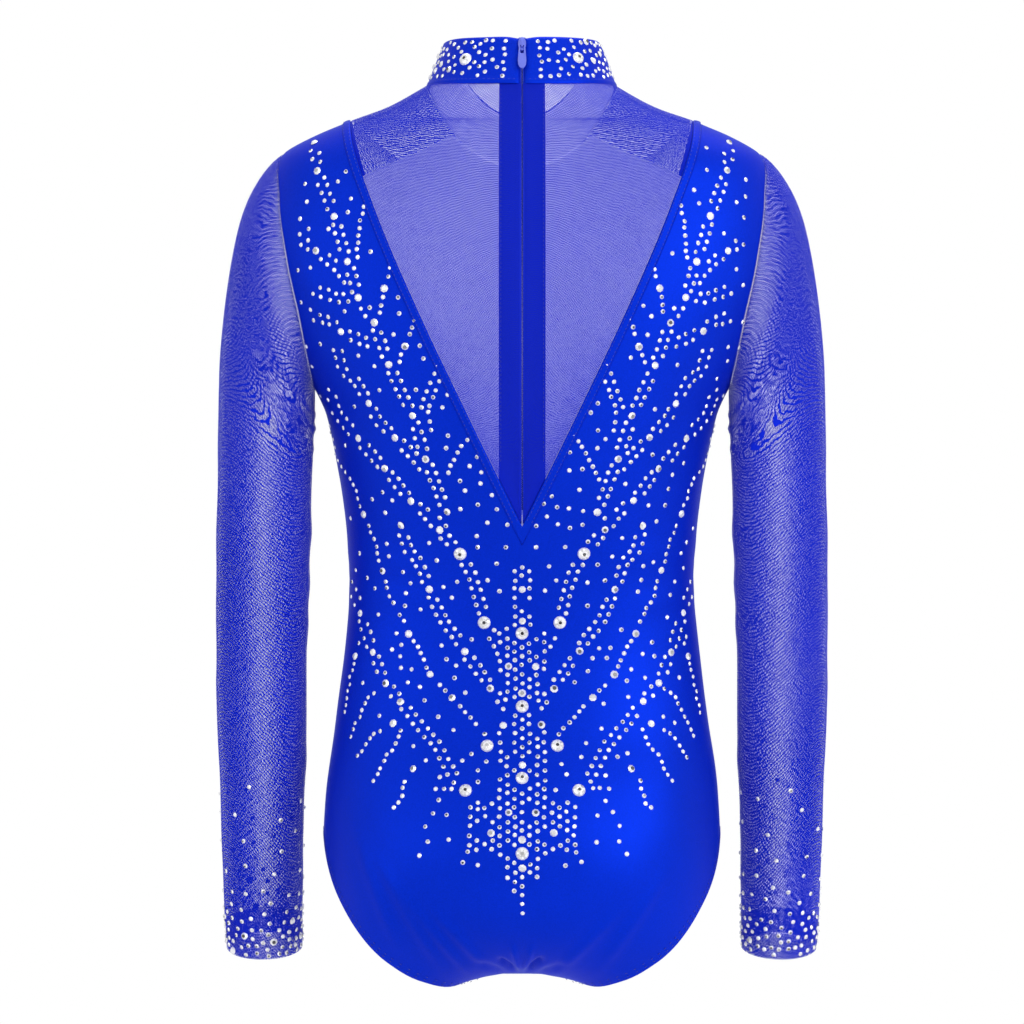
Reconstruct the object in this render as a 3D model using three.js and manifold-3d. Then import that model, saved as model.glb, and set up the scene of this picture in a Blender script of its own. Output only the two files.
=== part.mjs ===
// A long-sleeved gymnastics leotard in stretch satin and sheer mesh, filled out as if worn.
// Millimetres, +Z up. The back, with its zip, faces -Y, and +X is the wearer's right.
// The origin is the middle of the neck opening, level with the seam under the back of the collar.
import * as THREE from "three";
import { mergeVertices } from "three/addons/utils/BufferGeometryUtils.js";
import Module from "manifold-3d";

const wasm = await Module();
wasm.setup();

// Driving sizes.
const DEGREE = Math.PI / 180;
const SATIN = 0.4; // half the thickness of the satin panels
const MESH = 0.3; // half the thickness of the mesh panels
const SEAM_GAP = 0.25; // from a panel's edge to the middle of its seam
const SEAM_DEPTH = [-2.1, -1.4]; // how far inside the panels the seams and hems lie
const SQUARENESS = 0.08; // how much fuller than an ellipse a body section is
const SPINE = { radius: 420, out: 84, height: -150 }; // the arc of the centre back, and of the zip
const COLLAR_TOP = 30;
const ARMHOLE = { middle: 118, tall: 70, wide: 27.6 }; // down the body, half height, half width in degrees
const LEG_TOP = 474; // where the leg opening starts at the side seam
const CROTCH = 600; // where the front and back end, measured down the body
const GUSSET_ANGLE = 27;
const BACK_V = 274;
const FRONT_V = 200;
const SHOULDER_EDGE = 23; // where each V meets the shoulder
const ZIP = { top: 29, bottom: -264, slit: 0.45, teeth: 0.4, coil: 1.5, tape: 14.5, rest: 24 };

// A smooth curve through [at, value] points, level beyond its ends.
function through(points, firstSlope) {
  const rise = (i) => (points[i + 1][1] - points[i][1]) / (points[i + 1][0] - points[i][0]);
  const last = points.length - 1;
  const slopes = points.map(([at], i) => {
    if (i === 0) return firstSlope ?? rise(0);
    if (i === last) return rise(last - 1);
    const before = at - points[i - 1][0];
    const after = points[i + 1][0] - at;
    return (rise(i - 1) * after + rise(i) * before) / (before + after);
  });
  return (at) => {
    if (at <= points[0][0]) return points[0][1];
    if (at >= points[last][0]) return points[last][1];
    const i = points.findIndex(([next]) => next > at) - 1;
    const width = points[i + 1][0] - points[i][0];
    const t = (at - points[i][0]) / width;
    const s = 1 - t;
    return (
      (1 + 2 * t) * s * s * points[i][1] +
      t * t * (3 - 2 * t) * points[i + 1][1] +
      width * t * s * (s * slopes[i] - t * slopes[i + 1])
    );
  };
}

const mix = THREE.MathUtils.lerp;
const spineDepth = (z) =>
  SPINE.out - SPINE.radius + Math.sqrt(SPINE.radius ** 2 - (z - SPINE.height) ** 2);

// The body, as rings around it. Each value is a function of the distance down from the collar seam.
const halfWidth = through([
  [0, 60], [12, 85], [25, 112], [38, 135], [50, 152], [75, 163], [110, 164], [150, 151], [188, 132],
  [200, 125.5], [222, 119.4], [260, 113.4], [311, 109], [348, 111.5], [400, 118], [450, 124.5],
  [474, 126], [512, 124], [550, 114], [580, 86], [600, 62],
]);
const backDepth = through(
  [
    [BACK_V, spineDepth(-BACK_V)], [300, 58.5], [330, 54.5], [360, 55.5], [400, 65], [440, 81],
    [470, 90], [500, 91], [520, 86], [540, 76], [565, 57], [585, 37], [600, 24],
  ],
  -0.309,
);
const frontDepth = through([
  [0, 50], [20, 60], [50, 68], [90, 76], [150, 84], [200, 86], [260, 82], [330, 77], [400, 82],
  [440, 84], [474, 80], [500, 72], [525, 60], [550, 46], [575, 34], [600, 24],
]);
const backHeight = through([
  [0, 0], [50, -50], [LEG_TOP, -LEG_TOP], [510, -508], [540, -534], [565, -550], [585, -557], [600, -559],
]);
const sideHeight = through([
  [0, 3], [12, -11], [25, -21], [38, -31], [50, -41], [75, -70], [110, -109], [150, -150],
  [188, -188], [LEG_TOP, -LEG_TOP], [512, -513], [537, -541], [550, -559], [565, -584],
  [580, -598], [592, -582], [600, -560],
]);
const frontHeight = through([
  [0, -42], [50, -82], [100, -116], [150, -154], [200, -200], [LEG_TOP, -LEG_TOP], [500, -500],
  [525, -523], [550, -541], [575, -553], [600, -559],
]);

// A point of a ring: angle is 0 at the centre back, 90 at the right side and 180 at the centre front.
function ringPoint(angle, wide, back, front, backZ, sideZ, frontZ) {
  const sin = Math.sin(angle * DEGREE);
  const cos = Math.cos(angle * DEGREE);
  return new THREE.Vector3(
    wide * sin * (1 + SQUARENESS * cos * cos),
    -(cos > 0 ? back : front) * cos * (1 + SQUARENESS * sin * sin),
    mix(sideZ, cos > 0 ? backZ : frontZ, cos * cos),
  );
}

function bodyPoint(angle, down) {
  const back = down < BACK_V ? spineDepth(-down) : backDepth(down);
  const heights = [backHeight(down), sideHeight(down), frontHeight(down)];
  return ringPoint(angle, halfWidth(down), back, frontDepth(down), ...heights);
}

function collarPoint(angle, up) {
  const t = up / COLLAR_TOP;
  const heights = [up, mix(3, COLLAR_TOP + 1, t), mix(-42, -13, t)];
  return ringPoint(angle, mix(60, 49, t), spineDepth(up), mix(50, 44, t), ...heights);
}

// The outward normal of a surface that is given as point(angle, down).
function normalAt(point, angle, down) {
  const step = 0.01;
  const across = point(angle + step, down).sub(point(angle - step, down));
  const along = point(angle, down - step).sub(point(angle, down + step));
  return across.cross(along).normalize();
}

const raised = (point, normal, off) => point.clone().addScaledVector(normal, off);
const onBody = (angle, down, off) => raised(bodyPoint(angle, down), normalAt(bodyPoint, angle, down), off);
const onCollar = (angle, up, off) =>
  raised(collarPoint(angle, up), normalAt((a, d) => collarPoint(a, -d), angle, -up), off);

// The angle whose point on a ring is x from the middle.
function angleAt(x, down) {
  const share = Math.min(1, x / halfWidth(down));
  let sin = share;
  for (let i = 0; i < 8; i++) sin = (share + SQUARENESS * sin ** 3) / (1 + SQUARENESS);
  return Math.asin(Math.min(1, sin)) / DEGREE;
}

// Edges of the panels, each as [angle, down].
const backVWidth = through([[23, 108.5], [42, 105.8], [77, 93], [147, 62.5], [222, 26], [BACK_V, 0]]);
const frontVWidth = through([[23, 108.5], [40, 100], [70, 84], [120, 54], [165, 25], [FRONT_V, 0]]);
const backV = (down, aside = 0) => [angleAt(Math.max(0, backVWidth(down) + aside), down), down];
const frontV = (down, aside = 0) => [180 - angleAt(Math.max(0, frontVWidth(down) + aside), down), down];
const armhole = (turn, grow = 0) => [
  90 - (ARMHOLE.wide + grow * 0.7) * Math.sin(turn * DEGREE),
  ARMHOLE.middle - (ARMHOLE.tall + grow) * Math.cos(turn * DEGREE),
];
const backLegAngle = through([[0, 90], [0.25, 81.5], [0.5, 68.7], [0.75, 48], [0.9, 31.5], [1, GUSSET_ANGLE]]);
const frontLegAngle = through([[0, 90], [0.32, 60], [0.46, 46], [0.64, 31.5], [0.78, 24], [0.9, 23], [1, 27]]);
const legDown = (t) => mix(LEG_TOP, CROTCH, t * t);
const backLeg = (t) => [backLegAngle(t), legDown(t)];
const frontLeg = (t) => [180 - frontLegAngle(t), legDown(t)];

// A closed mesh with shared corners and its faces pointing out.
function closed(geometry) {
  geometry.deleteAttribute("normal");
  geometry.deleteAttribute("uv");
  const made = mergeVertices(geometry, 1e-4);
  const at = made.attributes.position;
  const [a, b, c] = [new THREE.Vector3(), new THREE.Vector3(), new THREE.Vector3()];
  const index = made.index.array;
  let volume = 0;
  for (let i = 0; i < index.length; i += 3) {
    a.fromBufferAttribute(at, index[i]);
    b.fromBufferAttribute(at, index[i + 1]);
    c.fromBufferAttribute(at, index[i + 2]);
    volume += a.dot(b.cross(c));
  }
  if (volume < 0) {
    for (let i = 0; i < index.length; i += 3) [index[i], index[i + 1]] = [index[i + 1], index[i]];
  }
  return made;
}

// A sheet with a thickness: place(u, v, off) for u and v from 0 to 1, between the two offsets.
function slab(columns, rows, [inner, outer], place) {
  const geometry = new THREE.BoxGeometry(1, 1, 1, columns, rows, 1);
  const at = geometry.attributes.position;
  for (let i = 0; i < at.count; i++) {
    const p = place(at.getX(i) + 0.5, 0.5 - at.getY(i), at.getZ(i) < 0 ? inner : outer);
    at.setXYZ(i, ...p.toArray().map((value) => Math.round(value * 1e4) / 1e4));
  }
  return closed(geometry);
}

// A band along stations, each with a point and a normal.
function band(stations, width, offsets, side = 0) {
  const last = stations.length - 1;
  return slab(1, last, offsets, (u, v, off) => {
    const i = Math.round(v * last);
    const { point, normal } = stations[i];
    const ahead = stations[Math.min(last, i + 1)].point.clone().sub(stations[Math.max(0, i - 1)].point);
    const across = ahead.cross(normal).normalize();
    return raised(point, normal, off).addScaledVector(across, (u - 0.5) * width + side);
  });
}

const station = (point, angle, down) => ({ point: point(angle, down), normal: normalAt(point, angle, down) });
const bodyStation = (edge) => station(bodyPoint, ...edge);
const steps = (count, from, to) => Array.from({ length: count + 1 }, (_, i) => mix(from, to, i / count));

function toSolid(geometry) {
  const vertProperties = geometry.attributes.position.array;
  return new wasm.Manifold(new wasm.Mesh({ numProp: 3, vertProperties, triVerts: geometry.index.array }));
}

function fromSolid(solid) {
  const { numProp, numVert, vertProperties, triVerts } = solid.getMesh();
  const at = new Float32Array(numVert * 3);
  for (let i = 0; i < numVert; i++) at.set(vertProperties.subarray(i * numProp, i * numProp + 3), i * 3);
  const geometry = new THREE.BufferGeometry().setAttribute("position", new THREE.BufferAttribute(at, 3));
  return geometry.setIndex(new THREE.BufferAttribute(triVerts, 1));
}

const joined = (...geometries) => fromSolid(geometries.map(toSolid).reduce((a, b) => a.add(b)));
const mirrored = (geometry) => closed(geometry.clone().scale(-1, 1, 1));
const bothSides = (geometry) => joined(geometry, mirrored(geometry));

const group = new THREE.Group();
const fabric = (color) => new THREE.MeshStandardMaterial({ color, roughness: 0.55, metalness: 0 });
const materials = {
  satin: fabric(0x0a2fd6),
  mesh: fabric(0x4a4fd0),
  trim: fabric(0x0a27b8),
  lining: fabric(0xf2eeea),
  metal: new THREE.MeshStandardMaterial({ color: 0x8f92d8, roughness: 0.3, metalness: 0.8 }),
  crystal: new THREE.MeshStandardMaterial({ color: 0xf4f6ff, roughness: 0.05, metalness: 0.2 }),
};

function add(name, geometry, material, parent = group) {
  geometry.computeVertexNormals();
  const mesh = new THREE.Mesh(geometry, materials[material]);
  mesh.name = name;
  parent.add(mesh);
  return mesh;
}

// A right-hand piece and its mirror image on the left.
function addPair(name, geometry, material) {
  add(`${name}_right`, geometry, material);
  add(`${name}_left`, mirrored(geometry), material);
}

// Half a body panel. Rows run from an inner to an outer edge, each edge a function of the row.
function halfPanel(rows, columns, offsets, inner, outer) {
  return slab(columns, rows.length - 1, offsets, (u, v, off) => {
    const row = rows[Math.round(v * (rows.length - 1))];
    const [fromAngle, fromDown] = inner(row);
    const [toAngle, toDown] = outer(row);
    return onBody(mix(fromAngle, toAngle, u), mix(fromDown, toDown, u), off);
  });
}

// The outer edge of a body panel: row 0 to 1 is the armhole, 1 to 2 the side seam, 2 to 3 the leg.
function outerEdge(row, facing) {
  const sideways = facing > 0 ? -1 : 1;
  const sideGap = sideways * 0.17;
  if (row < 1) {
    const [angle, down] = armhole(row * 180, 1.3);
    return [90 + sideways * (angle - 90) - (row === 0 ? sideGap : 0), down];
  }
  if (row < 2) return [90 - sideGap, mix(ARMHOLE.middle + ARMHOLE.tall + 1.3, LEG_TOP, row - 1)];
  const [angle, down] = (facing > 0 ? frontLeg : backLeg)(row - 2);
  return [row === 2 ? 90 - sideGap : angle, down - (row === 3 ? SEAM_GAP : 0)];
}

const PANEL_ROWS = [...steps(12, 0, 1), 1.15, ...steps(6, 1.3, 2), ...steps(11, 2, 3).slice(1)];

function bodyPanel(facing) {
  const tip = facing > 0 ? FRONT_V : BACK_V;
  const edge = facing > 0 ? frontV : backV;
  const middle = facing > 0 ? 180 : 0;
  const firstBelow = facing > 0 ? 1 : 1.3;
  const downAt = (row) => {
    if (row <= 1) return mix(SHOULDER_EDGE, facing > 0 ? tip : 190, row);
    if (row <= 1.3) return mix(facing > 0 ? tip : 190, facing > 0 ? 250 : tip, (row - 1) / 0.3);
    if (row <= 2) return mix(facing > 0 ? 250 : tip, LEG_TOP, (row - 1.3) / 0.7);
    return legDown(row - 2);
  };
  const inner = (row) => {
    if (row >= firstBelow) return [middle, downAt(row) - (row === 3 ? SEAM_GAP : 0)];
    const [angle, down] = edge(downAt(row), SEAM_GAP);
    return [facing > 0 ? Math.max(angle, 90.17) : Math.min(angle, 89.83), down];
  };
  return bothSides(halfPanel(PANEL_ROWS, 8, [-SATIN, SATIN], inner, (row) => outerEdge(row, facing)));
}

add("body_back", bodyPanel(-1), "satin");
add("body_front", bodyPanel(1), "satin");

// Rows that crowd together where the shoulder is most curved.
const rowsBelowShoulder = (count, to) =>
  steps(count, 0, 1).map((t) => mix(SHOULDER_EDGE, to, t * mix(t, 1, 0.25)));

// The sheer insert of the back, in two halves with the zip between them.
function meshBackHalf() {
  const rows = [0.5, 8, 16, ...rowsBelowShoulder(12, 267)];
  const inner = (down) => [angleAt(ZIP.slit, down), down];
  const outer = (down) => {
    const [angle] = backV(down, -SEAM_GAP);
    return [down <= SHOULDER_EDGE ? 89.8 : Math.min(angle, 89.8), down];
  };
  return halfPanel(rows, 7, [-MESH, MESH], inner, outer);
}

// The front insert crosses the middle in one piece.
function meshFront() {
  const rows = [0.5, 8, 16, ...rowsBelowShoulder(10, 194)];
  const inner = (down) => [180, down];
  const outer = (down) => {
    const [angle] = frontV(down, -SEAM_GAP);
    return [down <= SHOULDER_EDGE ? 90.2 : Math.max(angle, 90.2), down];
  };
  return bothSides(halfPanel(rows, 7, [-MESH, MESH], inner, outer));
}

addPair("mesh_back", meshBackHalf(), "mesh");
add("mesh_front", meshFront(), "mesh");

// The pale lining behind the whole front, from the collar seam to the gusset.
function frontLining() {
  const rows = [...steps(3, 0, 1), ...steps(5, 1, 2).slice(1), ...steps(5, 2, 3).slice(1)];
  const inner = (row) => {
    if (row <= 2) return [180, mix(1, LEG_TOP, row / 2)];
    return [180, mix(LEG_TOP, CROTCH - 12, (row - 2) ** 2)];
  };
  const outer = (row) => {
    if (row === 0) return [94, 12];
    const [angle, down] = outerEdge(row, 1);
    return [angle + (row > 2 ? 13 : 9), row > 2 ? mix(LEG_TOP, CROTCH - 12, (row - 2) ** 2) : down];
  };
  return bothSides(halfPanel(rows, 6, [-4.6, -3.8], inner, outer));
}

add("front_lining", frontLining(), "lining");

// The strip of satin that joins back and front between the legs.
function gusset() {
  return slab(6, 3, [-SATIN, SATIN], (u, v, off) => {
    const angle = mix(-GUSSET_ANGLE, GUSSET_ANGLE, u);
    const point = (across, along) =>
      bodyPoint(across, CROTCH).lerp(bodyPoint(180 - across, CROTCH), mix(0.012, 0.988, along));
    const [back, front] = [point(angle, 0), point(angle, 1)];
    const at = back.lerp(front, v);
    at.x *= 1 - 0.12 * Math.sin(v * Math.PI);
    at.z -= off + 0.6 * Math.sin(v * Math.PI);
    return at;
  });
}

add("crotch_gusset", gusset(), "satin");

// The sleeve's centreline below the cap, by height, leans forward from the elbow down.
const ARM = { top: -235, cuff: -549, hem: 9 };
const armX = through([[-549, 166.7], [-449, 166.4], [-323, 165.3], [ARM.top, 163.2]]);
const armY = through([[-549, 44], [-500, 31], [-440, 17], [-370, 5], [-300, -2], [ARM.top, -3]]);
const armRadius = through([[-549, 24.7], [-512, 25.3], [-449, 27.1], [-386, 28.6], [-323, 29.3], [ARM.top, 30.3]]);

function armPoint(turn, z) {
  const centre = new THREE.Vector3(armX(z), armY(z), z);
  const low = Math.max(ARM.cuff, z - 2);
  const lean = Math.atan2(armY(low) - armY(z + 2), z + 2 - low);
  const out = -Math.cos(turn * DEGREE);
  const back = Math.sin(turn * DEGREE);
  const radius = armRadius(z);
  return centre.add(
    new THREE.Vector3(-out, -back * Math.cos(lean), -back * Math.sin(lean)).multiplyScalar(radius),
  );
}

// The cap runs from the armhole to the top of the arm, on a curve of its own at each turn.
function capPoint(turn, t) {
  const [angle, down] = armhole(turn);
  const start = bodyPoint(angle, down);
  const end = armPoint(turn, ARM.top);
  const high = (1 + Math.cos(turn * DEGREE)) / 2;
  const round = Math.sin(turn * DEGREE);
  const leave = new THREE.Vector3(mix(-1, 28, high) + 6 * Math.abs(round), -5 * round, mix(-15, -13, high) - 16 * Math.abs(round));
  const arrive = new THREE.Vector3(0, 0, mix(16, 115, high) + 4 * Math.abs(round));
  return new THREE.CubicBezierCurve3(start, start.clone().add(leave), end.clone().add(arrive), end).getPoint(t);
}

// Turn is 0 at the top of the shoulder, 90 at the back and 180 under the arm; along is 0 to 1 on the cap, then 1 to 2.
function sleevePoint(turn, along) {
  if (along <= 1) return capPoint(turn, along);
  return armPoint(turn, mix(ARM.top, ARM.cuff, along - 1));
}

const onSleeve = (turn, along, off) => {
  const step = 0.004;
  const around = sleevePoint(turn - 0.2, along).sub(sleevePoint(turn + 0.2, along));
  const [before, after] = [Math.max(0, along - step), Math.min(2, along + step)];
  const down = sleevePoint(turn, after).sub(sleevePoint(turn, before));
  return raised(sleevePoint(turn, along), down.cross(around).normalize(), off);
};

function sleeve() {
  const rows = [0.02, 0.14, 0.28, 0.44, 0.62, 0.8, ...steps(7, 1, 1.96), 2];
  return slab(18, rows.length - 1, [-MESH, MESH], (u, v, off) =>
    onSleeve(mix(-179.4, 179.4, u), rows[Math.round(v * (rows.length - 1))], off),
  );
}

addPair("sleeve", sleeve(), "mesh");

// The stand collar: a rhinestoned outer layer and a lining, both open at the zip.
const collarLayer = (gap, offsets, low, high) =>
  slab(24, 2, offsets, (u, v, off) => onCollar(mix(gap, 360 - gap, u), mix(high, low, v), off));
add("collar_outer", collarLayer(1.1, [-SATIN, SATIN], 0.5, COLLAR_TOP), "satin");
add("collar_lining", collarLayer(16, [-2.1, -1.4], 1.5, COLLAR_TOP - 1), "satin");

// Folded facings along each V, lying on the satin.
function vFacing(edge, middle, tip) {
  const downAt = (t) => mix(SHOULDER_EDGE + 3, tip - 6, t * mix(t, 1, 0.4));
  const straight = steps(16, 0, 1).map((t) => bodyStation(edge(downAt(t), 2.6)));
  const stations = [...straight, bodyStation([middle, tip + 4])];
  return bothSides(band(stations, 5, [SATIN + 0.9, SATIN + 1.5]));
}

add("v_facing_back", vFacing(backV, 0, BACK_V), "satin");
add("v_facing_front", vFacing(frontV, 180, FRONT_V), "satin");

// Overlocked seams, lying inside.
const ring = (count, edge) => steps(count, 1, 359).map((turn) => bodyStation(edge(turn)));
addPair("armhole_seam", band(ring(26, (turn) => armhole(turn, 3)), 4, [-2.5, -1.8]), "trim");
addPair("side_seam", band(steps(12, 194, 466).map((down) => bodyStation([90, down])), 5, SEAM_DEPTH), "trim");
addPair("shoulder_tape", band(steps(6, 2, 43).map((down) => bodyStation([90, down])), 6, [-3.4, -2.7]), "trim");

function sleeveSeam() {
  const stations = [0.12, 0.5, 1, ...steps(6, 1, 1.95).slice(1)].map((along) => {
    const point = sleevePoint(180, along);
    return { point, normal: onSleeve(180, along, 1).sub(point) };
  });
  return band(stations, 4, SEAM_DEPTH);
}

addPair("sleeve_seam", sleeveSeam(), "trim");

// The hem at each wrist, folded inside.
const wristHem = slab(18, 1, SEAM_DEPTH, (u, v, off) =>
  onSleeve(mix(-170, 170, u), mix(1.965, 1.997, v), off),
);
addPair("wrist_hem", wristHem, "trim");

// The leg opening as one loop: down the back edge, across the gusset and up the front edge.
function legLoop(aside) {
  const down = new THREE.Vector3(0, 0, -1);
  const edge = [
    ...steps(11, 0.03, 0.9).map((t) => bodyStation(backLeg(t))),
    ...steps(2, 0.2, 0.8).map((t) => ({
      point: bodyPoint(GUSSET_ANGLE, CROTCH).lerp(bodyPoint(180 - GUSSET_ANGLE, CROTCH), t),
      normal: down,
    })),
    ...steps(11, 0.86, 0.03).map((t) => bodyStation(frontLeg(t))),
  ];
  return (width, offsets) => band(edge, width, offsets, aside);
}

addPair("leg_hem", legLoop(4.5)(6, [-3.6, -2.9]), "trim");
addPair("leg_elastic", legLoop(4.5)(5, [-6, -5.3]), "trim");

// The zip: two tapes with a coil on the edge of each, and stops at both ends.
const onBack = (x, z, off) => {
  if (z > 0) return onCollar(Math.asin(x / mix(60, 49, z / COLLAR_TOP) / (1 + SQUARENESS)) / DEGREE, z, off);
  return onBody(angleAt(x, -z), -z, off);
};
const zipStrip = (from, to, offsets, columns, high = ZIP.top, low = ZIP.bottom) =>
  slab(columns, Math.max(1, Math.round((high - low) / 18)), offsets, (u, v, off) =>
    onBack(mix(from, to, u), mix(high, low, v), off),
  );
addPair("zip_tape", zipStrip(2.3, ZIP.tape, [-2.2, -1.6], 2), "trim");
addPair("zip_coil", zipStrip(ZIP.teeth, ZIP.teeth + ZIP.coil, [-2.6, -1.4], 1, ZIP.top - 1.3), "metal");
addPair("zip_top_stop", zipStrip(ZIP.teeth, 2.1, [-2.8, -1.2], 1, ZIP.top + 0.9, ZIP.top - 0.9), "metal");
const stop = zipStrip(0, 2.1, [-2.9, -1.1], 1, ZIP.bottom - 0.4, ZIP.bottom - 3.4);
add("zip_bottom_stop", bothSides(stop), "metal");

// The slider and its pull tab. In their own frame the zip runs along Z and the outside is -Y.
const block = (x, y, z, at) => closed(new THREE.BoxGeometry(x, y, z).translate(...at));

function plate(outline, from, to, holes = []) {
  const shape = new THREE.Shape(outline);
  shape.holes = holes.map((hole) => new THREE.Path(hole));
  const geometry = new THREE.ExtrudeGeometry(shape, { depth: to - from, bevelEnabled: false });
  return closed(geometry.translate(0, 0, from).rotateX(Math.PI / 2));
}

// An oval outline, half wide by half high, about a middle.
const oval = (wide, high, middle, count = 16) =>
  Array.from({ length: count }, (_, i) => {
    const turn = (i / count) * 2 * Math.PI;
    return new THREE.Vector2(wide * Math.cos(turn), middle + high * Math.sin(turn));
  });

const BAIL = { axis: 2.75, height: -1.2 };

function zipSlider() {
  const inside = plate(oval(3.9, 5.4, 0), -4.5, -3.3);
  const neck = block(0.4, 5, 5, [0, 1, 0]);
  const crown = plate(oval(2.5, 4.8, 0), 1.4, 2.1);
  const lower = block(1.1, 2.3, 1, [0, -3.15, -2.7]);
  const upper = block(1.1, 2.3, 1, [0, -3.15, 2.1]);
  const bar = block(1.1, 0.9, 5.8, [0, -3.9, -0.3]);
  return joined(inside, neck, crown, lower, upper, bar);
}

// A teardrop tab that hangs from a slot at its narrow end. Its edge is half widths and heights.
const tabEdge = [
  [1.5, 0.42], [1.95, -0.3], [2.2, -4], [2.5, -8], [2.7, -11.5], [2.4, -14.4], [1.6, -16.2], [0.6, -17],
];

function pullTab() {
  const slot = [[-1.15, -0.42], [-1.15, -5.9], [-0.7, -6.4], [0.7, -6.4], [1.15, -5.9], [1.15, -0.42]];
  const corners = (list) => list.map(([x, y]) => new THREE.Vector2(x, y));
  const otherEdge = tabEdge.map(([x, y]) => [-x, y]).reverse();
  return plate(corners([...tabEdge, ...otherEdge]), -0.44, 0.44, [corners(slot)]);
}

const zipLean = Math.asin((ZIP.rest - SPINE.height) / SPINE.radius);
const rider = new THREE.Group();
rider.position.set(0, -spineDepth(ZIP.rest), ZIP.rest);
rider.rotation.x = -zipLean;
group.add(rider);
add("zip_slider", zipSlider(), "metal", rider);
add("pull_tab", pullTab(), "metal", rider).position.set(0, -BAIL.axis, BAIL.height);

// The largest rhinestones, each a faceted dome with a flat back.
const STONE = { radius: 4.1, height: 2.3, lift: SATIN + 0.9 };
const stoneProfile = [[0, 0], [1, 0], [0.96, 0.3], [0.55, 1], [0, 1]];

function addStone(name, point, normal) {
  const profile = stoneProfile.map(([r, h]) => new THREE.Vector2(r * STONE.radius, h * STONE.height));
  const stone = add(name, closed(new THREE.LatheGeometry(profile, 8)), "crystal");
  stone.position.copy(raised(point, normal, STONE.lift));
  stone.quaternion.setFromUnitVectors(new THREE.Vector3(0, 1, 0), normal);
}

const centreStones = [343, 389, 432, 478];
const pairedStones = [[38.5, 294], [23.6, 337], [21.8, 413], [35, 440]];

function addStones(facing) {
  const middle = facing === "front" ? 180 : 0;
  const around = (x, down) => Math.abs(middle - angleAt(x, down));
  centreStones.forEach((down, i) => {
    const { point, normal } = station(bodyPoint, middle, down);
    addStone(`rhinestone_${facing}_centre_${i + 1}`, point, normal);
  });
  pairedStones.forEach(([x, down], i) => {
    const { point, normal } = station(bodyPoint, around(x, down), down);
    const flip = new THREE.Vector3(-1, 1, 1);
    addStone(`rhinestone_${facing}_right_${i + 1}`, point, normal);
    addStone(`rhinestone_${facing}_left_${i + 1}`, point.clone().multiply(flip), normal.clone().multiply(flip));
  });
}

addStones("back");

export default group;
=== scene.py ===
import math
import random

import bmesh
import bpy
from mathutils import Matrix, Vector, noise


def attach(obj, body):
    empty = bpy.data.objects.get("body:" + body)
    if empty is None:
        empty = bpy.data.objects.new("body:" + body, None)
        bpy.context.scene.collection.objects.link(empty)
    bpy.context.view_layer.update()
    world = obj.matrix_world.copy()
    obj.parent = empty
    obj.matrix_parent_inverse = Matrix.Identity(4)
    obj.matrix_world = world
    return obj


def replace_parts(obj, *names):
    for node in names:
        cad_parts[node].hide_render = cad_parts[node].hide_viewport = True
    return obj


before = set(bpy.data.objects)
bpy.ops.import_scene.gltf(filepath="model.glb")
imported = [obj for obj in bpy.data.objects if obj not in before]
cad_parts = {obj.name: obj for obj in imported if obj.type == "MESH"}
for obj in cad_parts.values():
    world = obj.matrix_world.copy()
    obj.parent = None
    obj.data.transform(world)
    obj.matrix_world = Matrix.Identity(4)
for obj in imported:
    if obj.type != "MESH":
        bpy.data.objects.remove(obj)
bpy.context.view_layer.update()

degree = math.pi / 180
mm = 0.001
hands = (("right", 1), ("left", -1))
weld = 0.00002  # metres, the distance at which points of a sheet are joined

# The camera stands square behind the wearer, level with the middle of the garment.
cameraSetup = {"place": (-0.0063, -2.6, -0.268), "lens": 143.5, "width": 36}


def makeCamera(setup):
    data = bpy.data.cameras.new("camera")
    data.lens = setup["lens"]
    data.sensor_width = setup["width"]
    camera = bpy.data.objects.new("camera", data)
    camera.location = setup["place"]
    camera.rotation_euler = (math.pi / 2, 0, 0)
    bpy.context.collection.objects.link(camera)
    bpy.context.scene.camera = camera


makeCamera(cameraSetup)
print("camera placed")


# The form that fills the garment is worked out in millimetres.
def through(points, firstSlope=None):
    # a smooth curve through (at, value) points, kept as a fine table
    rises = [(b[1] - a[1]) / (b[0] - a[0]) for a, b in zip(points, points[1:])]
    slopes = [rises[0] if firstSlope is None else firstSlope]
    for i in range(1, len(points) - 1):
        before = points[i][0] - points[i - 1][0]
        after = points[i + 1][0] - points[i][0]
        slopes.append((rises[i - 1] * after + rises[i] * before) / (before + after))
    slopes.append(rises[-1])
    low, high, fine = points[0][0], points[-1][0], 2000
    step = (high - low) / fine
    table, i = [], 0
    for k in range(fine + 1):
        at = low + k * step
        while i < len(points) - 2 and at > points[i + 1][0]:
            i += 1
        width = points[i + 1][0] - points[i][0]
        t = min(1.0, (at - points[i][0]) / width)
        s = 1 - t
        table.append(
            (1 + 2 * t) * s * s * points[i][1] + t * t * (3 - 2 * t) * points[i + 1][1]
            + width * t * s * (s * slopes[i] - t * slopes[i + 1])
        )
    table.append(table[-1])

    def value(at):
        place = min(max((at - low) / step, 0), fine)
        k = int(place)
        return table[k] + (table[k + 1] - table[k]) * (place - k)

    return value


def mix(a, b, t):
    return a + (b - a) * t


def between(points, at):
    # straight lines through (at, value) points, and 0 beyond them
    for (low, first), (high, second) in zip(points, points[1:]):
        if low <= at <= high:
            return mix(first, second, (at - low) / (high - low))
    return 0


def spineDepth(z):
    deep, radius, down = formShape["spine"]
    return deep - radius + math.sqrt(radius**2 - (z + down) ** 2)


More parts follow.
